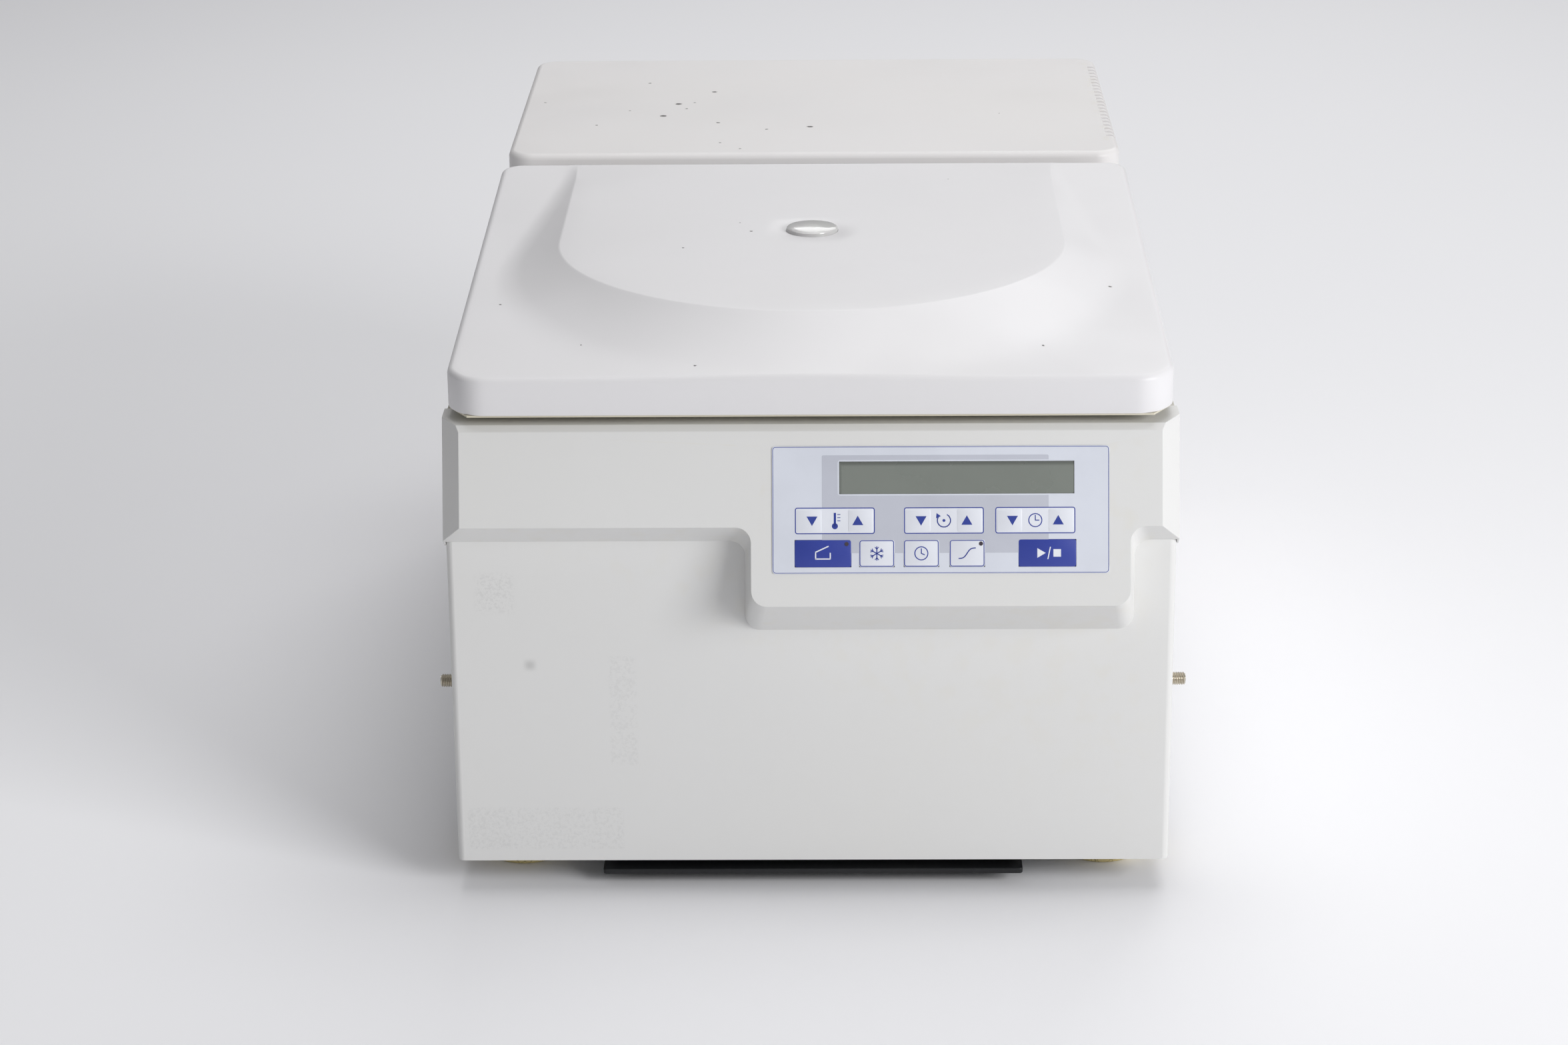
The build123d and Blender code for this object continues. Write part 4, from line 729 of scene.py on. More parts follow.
@dataclass(frozen=True)
class Gloss(Finish):
    """Smooth plastic, print or foil with a faint wave and finger marks."""

    rough: float = 0.28
    wave: float = 6.0
    coat: float = 0.15
    cloud_size: float = 22.0
    smear_size: float = 9.0

    def paint(self, desk: NodeDesk) -> None:
        """Adds the finish's nodes.

        Args:
            desk: The material's nodes.
        """
        clouds = desk.noise(self.cloud_size, 4.0)
        dull = deeper(self.tone, 0.93)
        desk.feed("Base Color", desk.mix(desk.ramp(clouds, 0.4, 0.72, 0.0, 0.6), self.tone, dull))
        smear = desk.noise(self.smear_size, 5.0)
        desk.feed("Roughness", desk.ramp(smear, 0.35, 0.7, self.rough, self.rough + 0.12))
        desk.feed("Coat Weight", self.coat)
        desk.feed("Coat Roughness", 0.2)
        desk.relief(desk.noise(self.wave, 2.0), 0.02, 0.25)


@dataclass(frozen=True)
class Clear(Finish):
    """Clear acrylic with faint dust on it; the share that isn't clear shows a pale colour, painted light that
    stands in for the bright view through the glass.
    """

    clear: float = 1.0
    bend: float = 1.49
    dust_size: float = 4.0
    cloud_size: float = 12.0

    def paint(self, desk: NodeDesk) -> None:
        """Adds the finish's nodes.

        Args:
            desk: The material's nodes.
        """
        film = desk.ramp(desk.noise(self.dust_size, 5.0), 0.45, 0.75, 0.02, 0.09)
        clouds = desk.ramp(desk.noise(self.cloud_size), 0.3, 0.7)
        # painted light: this pale colour shows in the share that isn't clear, so the glass looks brightly lit
        # from inside
        desk.feed("Base Color", desk.mix(clouds, self.tone, shade(250, 250, 248)))
        desk.feed("Roughness", film)
        desk.feed("IOR", self.bend)
        desk.feed("Transmission Weight", self.clear)


@dataclass(frozen=True)
class Screen(Finish):
    """Blank grey-green display under its window, with painted shade along its upper and left edges."""

    # how far the painted shade reaches in from the upper edge and from the left edge, in millimetres
    painted_shade_top: Flat = (2.2, 0.6)
    painted_shade_left: Flat = (0.2, 1.4)
    cloud_size: float = 30.0
    smear_size: float = 18.0

    def paint(self, desk: NodeDesk) -> None:
        """Adds the finish's nodes.

        Args:
            desk: The material's nodes.
        """
        left = Chassis.span("display_window", 0)[0]
        top = Chassis.span("display_window", 2)[1]
        x, _, z = desk.axes()
        clouds = desk.ramp(desk.noise(self.cloud_size, 3.0), 0.35, 0.7, 0.0, 0.25)
        # painted shade: the colour darkens towards the upper and left edges, standing in for the shade in the
        # display's recess
        dark = deeper(self.tone, 0.5)
        colour = desk.mix(clouds, self.tone, deeper(self.tone, 0.85))
        far, near = self.painted_shade_top
        painted_shade_top = desk.ramp(z, (top - far) * MM, (top - near) * MM, 0.0, 0.8)
        near, far = self.painted_shade_left
        painted_shade_left = desk.ramp(x, (left + near) * MM, (left + far) * MM, 0.6, 0.0)
        desk.feed("Base Color", desk.mix(desk.maths("MAXIMUM", painted_shade_top, painted_shade_left), colour, dark))
        smear = desk.noise(self.smear_size, 4.0)
        desk.feed("Roughness", desk.ramp(smear, 0.35, 0.7, 0.24, 0.34))
        desk.feed("Coat Weight", 0.2)
        desk.relief(desk.noise(20.0, 2.0), 0.02, 0.2)


@dataclass(frozen=True)
class Foam(Finish):
    """Cut or moulded foam with open pores."""

    pore_size: float = 1.1
    pore_depth: float = 0.25
    cloud_size: float = 14.0

    def paint(self, desk: NodeDesk) -> None:
        """Adds the finish's nodes.

        Args:
            desk: The material's nodes.
        """
        pores = desk.cells(self.pore_size)
        dark = deeper(self.tone, 0.6)
        desk.feed("Base Color", desk.mix(desk.ramp(pores, 0.1, 0.6), dark, self.tone))
        desk.feed("Roughness", desk.ramp(desk.noise(self.cloud_size), 0.3, 0.7, 0.82, 0.95))
        desk.relief(pores, self.pore_depth, 0.6)


@dataclass(frozen=True)
class Board(Finish):
    """Coated circuit board with tracks and solder points."""

    track: Shade = shade(24, 92, 52)
    solder: Shade = shade(190, 190, 186)
    track_scale: float = 220.0
    solder_spacing: float = 3.0
    solder_height: float = 0.2

    def paint(self, desk: NodeDesk) -> None:
        """Adds the finish's nodes.

        Args:
            desk: The material's nodes.
        """
        tracks = desk.node(
            "ShaderNodeTexBrick",
            {"Vector": desk.place, "Scale": self.track_scale, "Mortar Size": 0.05,
             "Color1": self.tone, "Color2": self.tone, "Mortar": self.track},
        ).outputs["Color"]
        dots = desk.ramp(desk.cells(self.solder_spacing), 0.12, 0.18, 1.0, 0.0)
        desk.feed("Base Color", desk.mix(dots, tracks, self.solder))
        desk.feed("Metallic", desk.maths("MULTIPLY", dots, 0.9))
        desk.feed("Roughness", desk.ramp(desk.noise(8.0), 0.3, 0.7, 0.28, 0.42))
        desk.relief(dots, self.solder_height, 0.5)


FRONT_MARKS = (
    Mark((-146, -81), (-260, -240), (20, 38), 0.17, 1.7, 1.2),
    Mark((-146, -130), (-260, -240), (22, 36), 0.12, 1.2, 4.0),
    Mark((-84.5, -74.5), (-260, -240), (59, 107), 0.16, 1.4, 1.5),
    Mark((-137, -127), (-260, -240), (130, 142), 0.24, 1.2, 5.0),
    Mark((-118.6, -118.0), (-260, -240), (103.7, 104.1), 0.6, 0.0, 3.3),
)
COVER_SPECKS = (
    (-86.4, 214.6, 0.9), (-69.6, 167.2, 1.9), (-76.3, 141.1, 1.9), (-65.1, 156.8, 0.9), (-52.0, 193.8, 1.5),
    (-48.3, 126.1, 1.1), (-23.6, 111.5, 0.9), (-2.1, 116.6, 1.8), (-46.1, 84.3, 0.7), (-36.0, 71.9, 0.7),
    (-108.8, 121.8, 0.7), (-93.7, 153.1, 0.6), (-61.5, 170.0, 0.7), (-138.1, 171.8, 0.7), (93.0, 143.0, 0.5),
)
LID_SPECKS = (
    (-15.0, 55.9, 0.7), (-27.5, -72.9, 0.8), (-33.0, -57.9, 0.5), (-57.2, -100.4, 0.8), (130.1, -137.1, 0.9),
    (97.2, -212.6, 0.9), (-134.3, -155.8, 0.8), (-47.3, -238.1, 0.7), (64.0, 20.0, 0.4), (-96.0, -210.0, 0.4),
)
ALL_FINISHES = (
    Moulded(
        "case_paint", shade(221, 221, 220), rough=0.42, grain=0.8, relief=0.03, ageing=0.08,
        marks=FRONT_MARKS,
    ),
    Moulded(
        "cover_paint", shade(227, 225, 225), rough=0.44, grain=0.8, relief=0.03, ageing=0.12,
        specks=COVER_SPECKS,
    ),
    Moulded("fascia_plastic", shade(222, 222, 221), rough=0.4, grain=0.6, relief=0.03, ageing=0.1),
    Moulded(
        "lid_plastic", shade(225, 224, 226), rough=0.42, grain=0.6, relief=0.03, ageing=0.06,
        specks=LID_SPECKS,
    ),
    Moulded("sleeve_plastic", shade(240, 240, 238), rough=0.4, grain=0.6, relief=0.02, ageing=0.1),
    Moulded(
        "liner_plastic", shade(211, 206, 188), rough=0.5, grain=0.9, relief=0.04,
        aged=shade(186, 174, 140), ageing=0.4,
    ),
    Moulded(
        "deck_plastic", shade(196, 194, 186), rough=0.5, grain=0.9, relief=0.04,
        aged=shade(170, 160, 130), ageing=0.5,
    ),
    Foam("foam", shade(190, 184, 158)),
    Metal("pan_steel", shade(186, 188, 190), rough=0.36, way=Direction.ALONG),
    Metal("bowl_steel", shade(200, 201, 203), rough=0.27, way=Direction.UPRIGHT),
    Metal("stud_steel", shade(206, 198, 182), rough=0.3, tarnish=0.5),
    Metal("copper", shade(196, 120, 84), rough=0.34, tarnish=0.45),
    Rubber("black_rubber", shade(34, 34, 35), worn=shade(58, 57, 55)),
    Rubber("foot_rubber", shade(222, 206, 152), cracks=0.75, worn=shade(188, 168, 112)),
    Gloss("hose_plastic", shade(214, 216, 212), rough=0.25),
    Metal("motor_aluminium", shade(178, 180, 182), rough=0.42),
    Metal("rotor_aluminium", shade(72, 75, 82), rough=0.36, metallic=0.85, tarnish=0.15),
    Gloss("black_paint", shade(26, 26, 28), rough=0.22, wave=9.0, coat=0.4),
    Moulded(
        "black_plastic", shade(30, 31, 33), rough=0.48, grain=0.7, relief=0.05, aged=shade(62, 62, 62),
        ageing=0.3,
    ),
    # only 0.45 clear: the pale rest of the viewing glass is painted light
    Clear("clear_glass", shade(248, 246, 247), clear=0.45),
    Gloss("foil", shade(217, 221, 231), rough=0.34, wave=12.0, coat=0.1),
    Gloss("foil_block", shade(193, 196, 207), rough=0.34, wave=12.0, coat=0.1),
    Gloss("key_white", shade(229, 232, 240), rough=0.34, wave=12.0, coat=0.1),
    Gloss("key_blue", shade(50, 66, 156), rough=0.34, wave=12.0, coat=0.1),
    Gloss("ink_blue", shade(48, 66, 152), rough=0.36, wave=12.0, coat=0.05),
    Gloss("ink_white", shade(232, 234, 240), rough=0.36, wave=12.0, coat=0.05),
    Gloss("lamp_dark", shade(70, 62, 70), rough=0.2, wave=6.0, coat=0.5),
    Screen("display", shade(127, 132, 126)),
    Metal("module_metal", shade(140, 140, 140), rough=0.4),
    Board("board_green", shade(20, 78, 44)),
)
FINISHES: dict[str, Finish] = {finish.name: finish for finish in ALL_FINISHES}


# ------------------------------------------------------------------------------------- Frame
@dataclass
class Chassis:
    """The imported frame: its solids, bodies and material slots."""

    solids: dict[str, bpy.types.Object]
    body_of: dict[str, str]
    slot_of: dict[str, str]
    dressed: set[str] = field(default_factory=set)
    pieces: int = 0

    @classmethod
    def loaded(cls) -> "Chassis":
        """Loads the frame and reads its record.

        Returns:
            The chassis.
        """
        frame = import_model()
        record = frame["record"]
        bodies = {
            node: body for body, nodes in record["behaviour"]["bodies"].items() for node in nodes
        }
        slots = {entry["node"]: entry["material_slot"] for entry in record["subparts"]}
        return cls(dict(frame["nodes"]), bodies, slots)

    def fit(
        self,
        piece: bpy.types.Object,
        body: str,
        finish: str,
        stands_for: Sequence[str] = (),
    ) -> bpy.types.Object:
        """Gives a piece its body and finish, and hides the solids that it stands for.

        Args:
            piece: The finished piece.
            body: The body that it rides on.
            finish: Its finish.
            stands_for: The solids that it replaces.

        Returns:
            The same piece.
        """
        piece.data.materials.clear()
        piece.data.materials.append(FINISHES[finish].material())
        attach(piece, body)
        if stands_for:
            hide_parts(*stands_for)
            self.dressed.update(stands_for)
        self.pieces += 1
        LOG.info("%s: %d faces on %s", piece.name, len(piece.data.polygons), body)
        return piece

    def refine(
        self, node: str, *roundings: Rounding, finish: Optional[str] = None
    ) -> bpy.types.Object:
        """Replaces one solid with a copy whose edges are rounded.

        Args:
            node: The solid.
            roundings: The roundings of its edges, or none.
            finish: Its finish, where that isn't the one of its slot.

        Returns:
            The new piece.
        """
        piece = Workshop.softened(self.solids[node], f"{node}_fine", roundings)
        slot = self.slot_of[node]
        return self.fit(piece, self.body_of[node], finish or slot, [node])

    @staticmethod
    def span(node: str, axis: int) -> Flat:
        """Lowest and highest place of one solid along an axis, in millimetres."""
        low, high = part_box(node)
        return (low[axis] / MM, high[axis] / MM)

    def dress_rest(self) -> None:
        """Gives every solid that is still shown the finish of its slot."""
        for node, solid in self.solids.items():
            if node in self.dressed:
                continue
            solid.data.materials.clear()
            solid.data.materials.append(FINISHES[self.slot_of[node]].material())


# ------------------------------------------------------------------------------------- Lid
@dataclass
class Lid:
    """Hinged lid: shell with a raised field, viewing glass, liner and inner parts."""

    half: float = 150.0
    front: float = FRONT_Y
    depth: float = 303.0
    base: float = 213.7
    front_height: float = 16.0
    rise: float = 14.2
    field_radius: float = 113.0
    field_depth: float = 162.0
    flare: float = 58.0
    sag: float = 2.2
    run_out: float = 5.4
    rim_blend: float = 1.6
    crease: float = 0.25
    corner: Flat = (8.0, 13.0)
    corner_round: float = 15.0
    rear_round: float = 10.0
    edge_round: float = 2.6
    foot_round: float = 0.7
    wall: float = 2.5
    inner_radius: float = 60.0
    inner_drops: Point = (6.0, 4.0, 7.0)
    hinge: Flat = (37.997, 228.9)
    heel: float = 16.1
    notch_x: float = 118.0
    notch_place: Flat = (52.0, 218.0)
    notch_size: Point = (10.0, 24.0, 32.0)
    glass_radius: float = 11.7
    glass_y: float = -71.003
    glass_edge: tuple[Flat, ...] = (
        (2.5, -5.0), (2.5, -3.0), (0.0, -3.0), (0.0, 0.7), (-0.2, 1.3), (-0.7, 1.7), (-1.4, 1.9)
    )
    glass_crown: float = 0.55
    sleeve_wall: float = 0.9
    outline_step: float = 3.6
    arc_steps: int = 8
    round_steps: int = 6
    slope_rings: int = 42
    field_rings: int = 10

    @property
    def top(self) -> float:
        """Height of the raised field."""
        return self.base + self.front_height + self.rise

    def rim(self, y: float) -> float:
        """Height of the sloping rim at y."""
        return self.top - self.rise * (1 - (y - self.front) / self.depth)

    def beyond(self, x: float, y: float) -> float:
        """Distance of a place from the edge of the raised field, negative within it."""
        return math.hypot(x, min(y - self.front - self.field_depth, 0.0)) - self.field_radius

    def height(self, x: float, y: float) -> float:
        """Height of the lid's top at a place.

        Args:
            x: Place to the right.
            y: Place to the back.

        Returns:
            The height in millimetres.
        """
        t = self.beyond(x, y) / self.flare
        drop = self.rise + self.run_out * (t - 1)
        if t < 1:
            drop = self.rise * t + 4 * self.sag * t * (1 - t)
        level = soft_min(self.top, self.top - drop, self.crease)
        return min(soft_max(level, self.rim(y), self.rim_blend), self.top)

    def under(self, y: float) -> float:
        """Height of the lower edge, which curls up round the hinge at the back.

        Args:
            y: Place to the back.

        Returns:
            The height in millimetres.
        """
        behind = y - self.hinge[0]
        if behind <= 0:
            return self.base
        return max(self.base, self.hinge[1] - math.sqrt(max(self.heel**2 - behind**2, 1.0)))

    def crossing(self, start: Flat, end: Flat) -> float:
        """Share of the way from one place to another at which the raised field starts.

        Args:
            start: Place on the rim.
            end: Place within the field.

        Returns:
            The share, or 0 where the way starts in the field.
        """
        low, high = -0.001, 1.0
        for _ in range(30):
            share = (low + high) / 2
            x = start[0] + (end[0] - start[0]) * share
            y = start[1] + (end[1] - start[1]) * share
            if self.beyond(x, y) > 0:
                low = share
            else:
                high = share
        return max(high, 0.0)

    def corners(self) -> list[list[Box]]:
        """Round corners of the plan outline.

        Returns:
            The points of each arc: x and y, and the outward normal's x and y.
        """
        back = self.front + self.depth
        cut_x, cut_y = self.corner
        corners = [
            (-self.half + cut_x, self.front, self.corner_round),
            (self.half - cut_x, self.front, self.corner_round),
            (self.half, self.front + cut_y, self.corner_round),
            (self.half, back, self.rear_round),
            (-self.half, back, self.rear_round),
            (-self.half, self.front + cut_y, self.corner_round),
        ]
        arcs = []
        for k, (x, y, radius) in enumerate(corners):
            here = Vector((x, y))
            back_way = (Vector(corners[k - 1][:2]) - here).normalized()
            on_way = (Vector(corners[(k + 1) % len(corners)][:2]) - here).normalized()
            half_angle = back_way.angle(on_way) / 2
            middle = here + (back_way + on_way).normalized() * radius / math.sin(half_angle)
            first = here + back_way * radius / math.tan(half_angle)
            start = (first - middle).normalized()
            turn = math.pi - 2 * half_angle
            arc = []
            for step in range(self.arc_steps + 1):
                a = turn * step / self.arc_steps
                normal = Vector(
                    (start.x * math.cos(a) - start.y * math.sin(a),
                     start.x * math.sin(a) + start.y * math.cos(a))
                )
                arc.append((*(middle + normal * radius), *normal))
            arcs.append(arc)
        return arcs

    def outline(self) -> list[Box]:
        """Points of the plan outline with their outward normals.

        Returns:
            Each point's x and y and its normal's x and y.
        """
        arcs = self.corners()
        points = []
        for k, arc in enumerate(arcs):
            points += arc
            end, follow = Vector(arc[-1][:2]), Vector(arcs[(k + 1) % len(arcs)][0][:2])
            count = int((follow - end).length // self.outline_step)
            for step in range(1, count):
                place = end.lerp(follow, step / count)
                points.append((place.x, place.y, arc[-1][2], arc[-1][3]))
        return points

    def inset(self, distance: float) -> list[Flat]:
        """Plan outline drawn in by a distance."""
        return [(x - nx * distance, y - ny * distance) for x, y, nx, ny in self.outline()]

    def side(self) -> list[list[Point]]:
        """Rings of the upright side, from the inside of its foot up to its rounded upper edge.

        Returns:
            The rings in order.
        """
        foot = self.foot_round
        rings: list[list[Point]] = []
        for distance, lift in ((self.wall, 0.0), (foot, 0.0), (0.2, 0.2), (0.0, foot)):
            rings.append([(x, y, self.under(y) + lift) for x, y in self.inset(distance)])
        seat = self.inset(self.edge_round)
        for step in range(self.round_steps + 1):
            a = math.radians(90 * step / self.round_steps)
            drawn = self.inset(self.edge_round * (1 - math.cos(a)))
            drop = self.edge_round * (1 - math.sin(a))
            rings.append(
                [(x, y, self.height(sx, sy) - drop) for (x, y), (sx, sy) in zip(drawn, seat)]
            )
        return rings

    def slope(self, start: Sequence[Flat], around: Sequence[Flat]) -> list[list[Point]]:
        """Rings of the top, from its edge to the glass, close together at the field's crease.

        Args:
            start: Points of the top's edge.
            around: Direction of each from the glass.

        Returns:
            The rings in order.
        """
        reach, fold = self.glass_radius + 0.5, 0.6
        ways = []
        for (x, y), (c, s) in zip(start, around):
            end = (reach * c, self.glass_y + reach * s)
            share, length = self.crossing((x, y), end), math.dist((x, y), end)
            shares = [share * k / self.slope_rings for k in range(1, self.slope_rings)]
            shares += [max(share + fold * k / 2 / length, 0.0) for k in (-2, -1, 0, 1, 2)]
            shares = [min(value, share + fold / length) for value in shares]
            shares += [share + (1 - share) * k / self.field_rings for k in range(1, self.field_rings + 1)]
            ways.append([(x + (end[0] - x) * v, y + (end[1] - y) * v) for v in sorted(shares)])
        return [[(x, y, self.height(x, y)) for x, y in ring] for ring in zip(*ways)]

    def shell(self) -> bpy.types.Object:
        """Builds the shell, with its hinge notches cut.

        Returns:
            The shell.
        """
        start = self.inset(self.edge_round)
        angles = [math.atan2(y - self.glass_y, x) for x, y in start]
        around = [(math.cos(a), math.sin(a)) for a in angles]

        def circle(radius: float, drop: float) -> list[Point]:
            """Ring about the glass, at a drop from the top."""
            return [(radius * c, self.glass_y + radius * s, self.top - drop) for c, s in around]

        rings = self.side() + self.slope(start, around)
        for wider, drop in ((0.15, 0.15), (0.0, 0.5), (0.0, 3.0)):
            rings.append(circle(self.glass_radius + wider, drop))
        inner, shoulder, wall = self.inner_drops
        rings.append(circle(self.inner_radius, inner))
        rings.append([(x, y, self.rim(y) - shoulder) for x, y in self.inset(self.wall + 2.0)])
        rings.append(
            [(x, y, max(self.rim(y) - wall, self.under(y) + 0.5)) for x, y in self.inset(self.wall)]
        )
        piece = Workshop.loft("lid_shell_top", rings, closed=True)
        for side in (-1, 1):
            Workshop.rest()
            place = Vector((side * self.notch_x, *self.notch_place)) * MM
            bpy.ops.mesh.primitive_cube_add(size=MM, location=place, scale=self.notch_size)
            Workshop.cut(piece, bpy.context.object)
        Workshop.smooth(piece, 30.0)
        return piece

    def glass(self) -> bpy.types.Object:
        """Builds the domed viewing glass with its rounded rim.

        Returns:
            The glass.
        """
        edge, steps = self.glass_radius - 0.1, 6
        profile: list[Flat] = [(0.0, self.top + self.glass_edge[0][1])]
        profile += [(edge + out, self.top + up) for out, up in self.glass_edge]
        crown, shoulder = profile[-1]
        for step in range(1, steps + 1):
            away = 1 - step / steps
            profile.append((crown * away, shoulder + self.glass_crown * (1 - away**2)))
        return Workshop.turned("viewing_glass", profile, (0.0, self.glass_y), 72, closed=False)

    def sleeve(self) -> bpy.types.Object:
        """Builds the white sight tube under the viewing glass.

        Returns:
            The tube.
        """
        high, bore = self.top + self.glass_edge[0][1] - 0.1, self.glass_radius - 0.4
        low, outside = Chassis.span("lid_shell", 2)[0] + 4.0, bore + self.sleeve_wall
        profile = [(bore, low), (outside, low), (outside, high), (bore, high)]
        return Workshop.turned("sight_sleeve", profile, (0.0, self.glass_y), 64)

    def build(self, chassis: Chassis) -> None:
        """Builds and dresses the lid.

        Args:
            chassis: The frame that carries it.
        """
        chassis.fit(self.shell(), "lid", "lid_plastic", ["lid_shell"])
        chassis.fit(self.glass(), "lid", "clear_glass", ["view_glass"])
        chassis.fit(self.sleeve(), "lid", "sleeve_plastic")
        chassis.refine("lid_liner", Rounding(0.4))
        chassis.refine("lid_striker", Rounding(0.4))
        chassis.refine("inner_pane", Rounding(0.3))
        chassis.refine("lid_foam", Rounding(0.8))


# ------------------------------------------------------------------------------------- Control panel
@dataclass
class Panel:
    """Front fascia with its keypad foil, keys and display."""

    tilt: float = 16.9
    front: float = FRONT_Y
    edge: float = 206.8
    foil_left: float = 0.0
    foil_top: float = -6.2
    foil: Flat = (138.5, 52.5)
    foil_corner: float = 1.3
    rim_width: float = 2.4
    end: float = 152.75
    surface: float = 0.3
    row_height: float = 10.9
    upper: float = 25.2
    lower: float = 38.7
    arrow_fields: tuple[tuple[str, float], ...] = (("temperature", 9.4), ("speed", 54.2), ("time", 91.7))
    field_width: float = 32.8
    field_corner: float = 1.0
    arrow_width: float = 10.0
    arrow_margin: float = 0.8
    arrow_radius: float = 2.6
    arrow_shift: Flat = (1.2, 0.5)
    lower_keys: tuple[tuple[str, float, float, str], ...] = (
        ("open_key", 9.4, 22.9, "key_blue"),
        ("fast_cool_key", 35.9, 14.2, "key_white"),
        ("short_spin_key", 54.2, 14.2, "key_white"),
        ("soft_start_key", 73.0, 14.2, "key_white"),
        ("start_stop_key", 101.4, 23.3, "key_blue"),
    )
    lamps: tuple[tuple[str, float], ...] = (("open", 30.6), ("soft_start", 85.8))
    lamp_radius: float = 0.85
    lamp_drop: float = 1.5
    key_grow: float = 0.14
    key_corner: float = 0.9
    key_depth: float = 5.0
    key_lift: float = 0.12
    print_height: float = 0.03
    stroke: float = 0.42
    block: Box = (20.5, 3.7, 93.1, 40.3)
    block_corner: float = 0.6
    opening: Box = (27.0, 5.7, 97.7, 14.6)
    opening_corner: float = 1.2
    display: Box = (27.65, 6.35, 96.4, 13.3)
    display_corner: float = 0.8

    def measure(self) -> None:
        """Takes the foil's left edge and the fascia's end from the frame."""
        self.foil_left = Chassis.span("keypad_foil", 0)[0]
        self.end = Chassis.span("front_fascia", 0)[1]

    def lay(self) -> Matrix:
        """Place of the sloping face, with u to the right and v up it.

        Returns:
            The matrix from the face's own axes to the object's, in metres.
        """
        s, c = math.sin(math.radians(self.tilt)), math.cos(math.radians(self.tilt))
        return Matrix(
            (
                (1, 0, 0, 0),
                (0, s, -c, self.front * MM),
                (0, c, s, self.edge * MM),
                (0, 0, 0, 1),
            )
        )

    def spot(self, x: float, y: float) -> Flat:
        """Place on the face of a point given from the foil's upper left corner."""
        return (self.foil_left + x, self.foil_top - y)

    def sheet(self, x: float, y: float, width: float, height: float, radius: float) -> bpy.types.Object:
        """A flat rounded sheet on the foil, by its upper left corner, not yet laid on the face.

        Args:
            x: Left edge on the foil.
            y: Upper edge on the foil, downwards.
            width: Width of the sheet.
            height: Height of the sheet.
            radius: Radius of its corners, or 0.

        Returns:
            The sheet.
        """
        u, v = self.spot(x + width / 2, y + height / 2)
        Workshop.rest()
        bpy.ops.mesh.primitive_plane_add(size=MM, location=(u * MM, v * MM, 0))
        piece = bpy.context.object
        piece.scale = (width, height, 1)
        Workshop.hold(piece)
        bpy.ops.object.transform_apply(location=True, rotation=True, scale=True)
        if radius > 0:
            Workshop.edit(piece)
            bpy.ops.mesh.bevel(offset=radius * MM, segments=5, affect="VERTICES")
            Workshop.rest()
        return piece

    def hollow(self, piece: bpy.types.Object, line: float) -> bpy.types.Object:
        """Turns a sheet into a frame of one line width.

        Args:
            piece: The sheet.
            line: Width of the line.

        Returns:
            The same object.
        """
        Workshop.edit(piece)
        bpy.ops.mesh.select_mode(type="FACE")
        bpy.ops.mesh.select_all(action="SELECT")
        bpy.ops.mesh.inset(thickness=line * MM)
        bpy.ops.mesh.delete(type="FACE")
        Workshop.rest()
        return piece

    def bar(self, start: Flat, end: Flat, line: float) -> bpy.types.Object:
        """A printed line between two points given from the foil's corner.

        Args:
            start: First point.
            end: Last point.
            line: Width of the line.

        Returns:
            The line.
        """
        first, last = Vector(self.spot(*start)), Vector(self.spot(*end))
        middle, way = (first + last) / 2, last - first
        Workshop.rest()
        bpy.ops.mesh.primitive_plane_add(
            size=MM, location=(middle.x * MM, middle.y * MM, 0), rotation=(0, 0, math.atan2(way.y, way.x))
        )
        piece = bpy.context.object
        piece.scale = (way.length + line * 0.6, line, 1)
        return piece

    def dot(self, x: float, y: float, radius: float, count: int = 24, turn: float = 0.0) -> bpy.types.Object:
        """A printed disc or, with few corners, a triangle or square.

        Args:
            x: Centre on the foil.
            y: Centre on the foil, downwards.
            radius: Radius to the corners.
            count: Number of corners.
            turn: Turn in degrees.

        Returns:
            The flat shape.
        """
        u, v = self.spot(x, y)
        Workshop.rest()
        bpy.ops.mesh.primitive_circle_add(
            vertices=count, radius=radius * MM, fill_type="NGON",
            location=(u * MM, v * MM, 0), rotation=(0, 0, math.radians(turn)),
        )
        return bpy.context.object

    def ring(self, x: float, y: float, radius: float, line: float) -> bpy.types.Object:
        """A printed circle."""
        return self.hollow(self.dot(x, y, radius, 32), line)

    def printed(
        self, name: str, parts: Sequence[bpy.types.Object], low: float, high: float
    ) -> bpy.types.Object:
        """Joins flat shapes, gives them thickness and lays them on the face.

        Args:
            name: Name of the piece.
            parts: The flat shapes, which are used up.
            low: Height of its back over the face.
            high: Height of its front over the face.

        Returns:
            The piece.
        """
        piece = Workshop.joined(name, list(parts))
        Workshop.edit(piece)
        bpy.ops.mesh.select_mode(type="FACE")
        bpy.ops.mesh.select_all(action="SELECT")
        bpy.ops.mesh.normals_make_consistent(inside=False)
        bpy.ops.mesh.extrude_region_move(
            TRANSFORM_OT_translate={"value": (0, 0, (high - low) * MM)}
        )
        bpy.ops.mesh.select_all(action="SELECT")
        bpy.ops.mesh.normals_make_consistent(inside=False)
        Workshop.rest()
        piece.matrix_world = self.lay() @ Matrix.Translation((0, 0, low * MM))
        return Workshop.named(piece, name)

    def cap(self, name: str, x: float, y: float, width: float, height: float) -> bpy.types.Object:
        """A key block with rounded corners and edges.

        Args:
            name: Name of the key.
            x: Left edge on the foil.
            y: Upper edge on the foil, downwards.
            width: Width of the key.
            height: Height of the key.

        Returns:
            The key block.
        """
        grow = self.key_grow
        part = self.sheet(x - grow, y - grow, width + 2 * grow, height + 2 * grow, self.key_corner)
        piece = self.printed(f"{name}_cap", [part], -self.key_depth, self.surface + self.key_lift)
        normal = self.lay().to_3x3() @ Vector((0, 0, 1))
        Workshop.edit_faces(piece, lambda centre, way: way.dot(normal) > 0.9)
        bpy.ops.mesh.bevel(offset=self.key_lift * MM, segments=2, affect="EDGES")
        Workshop.rest()
        Workshop.smooth(piece)
        return piece

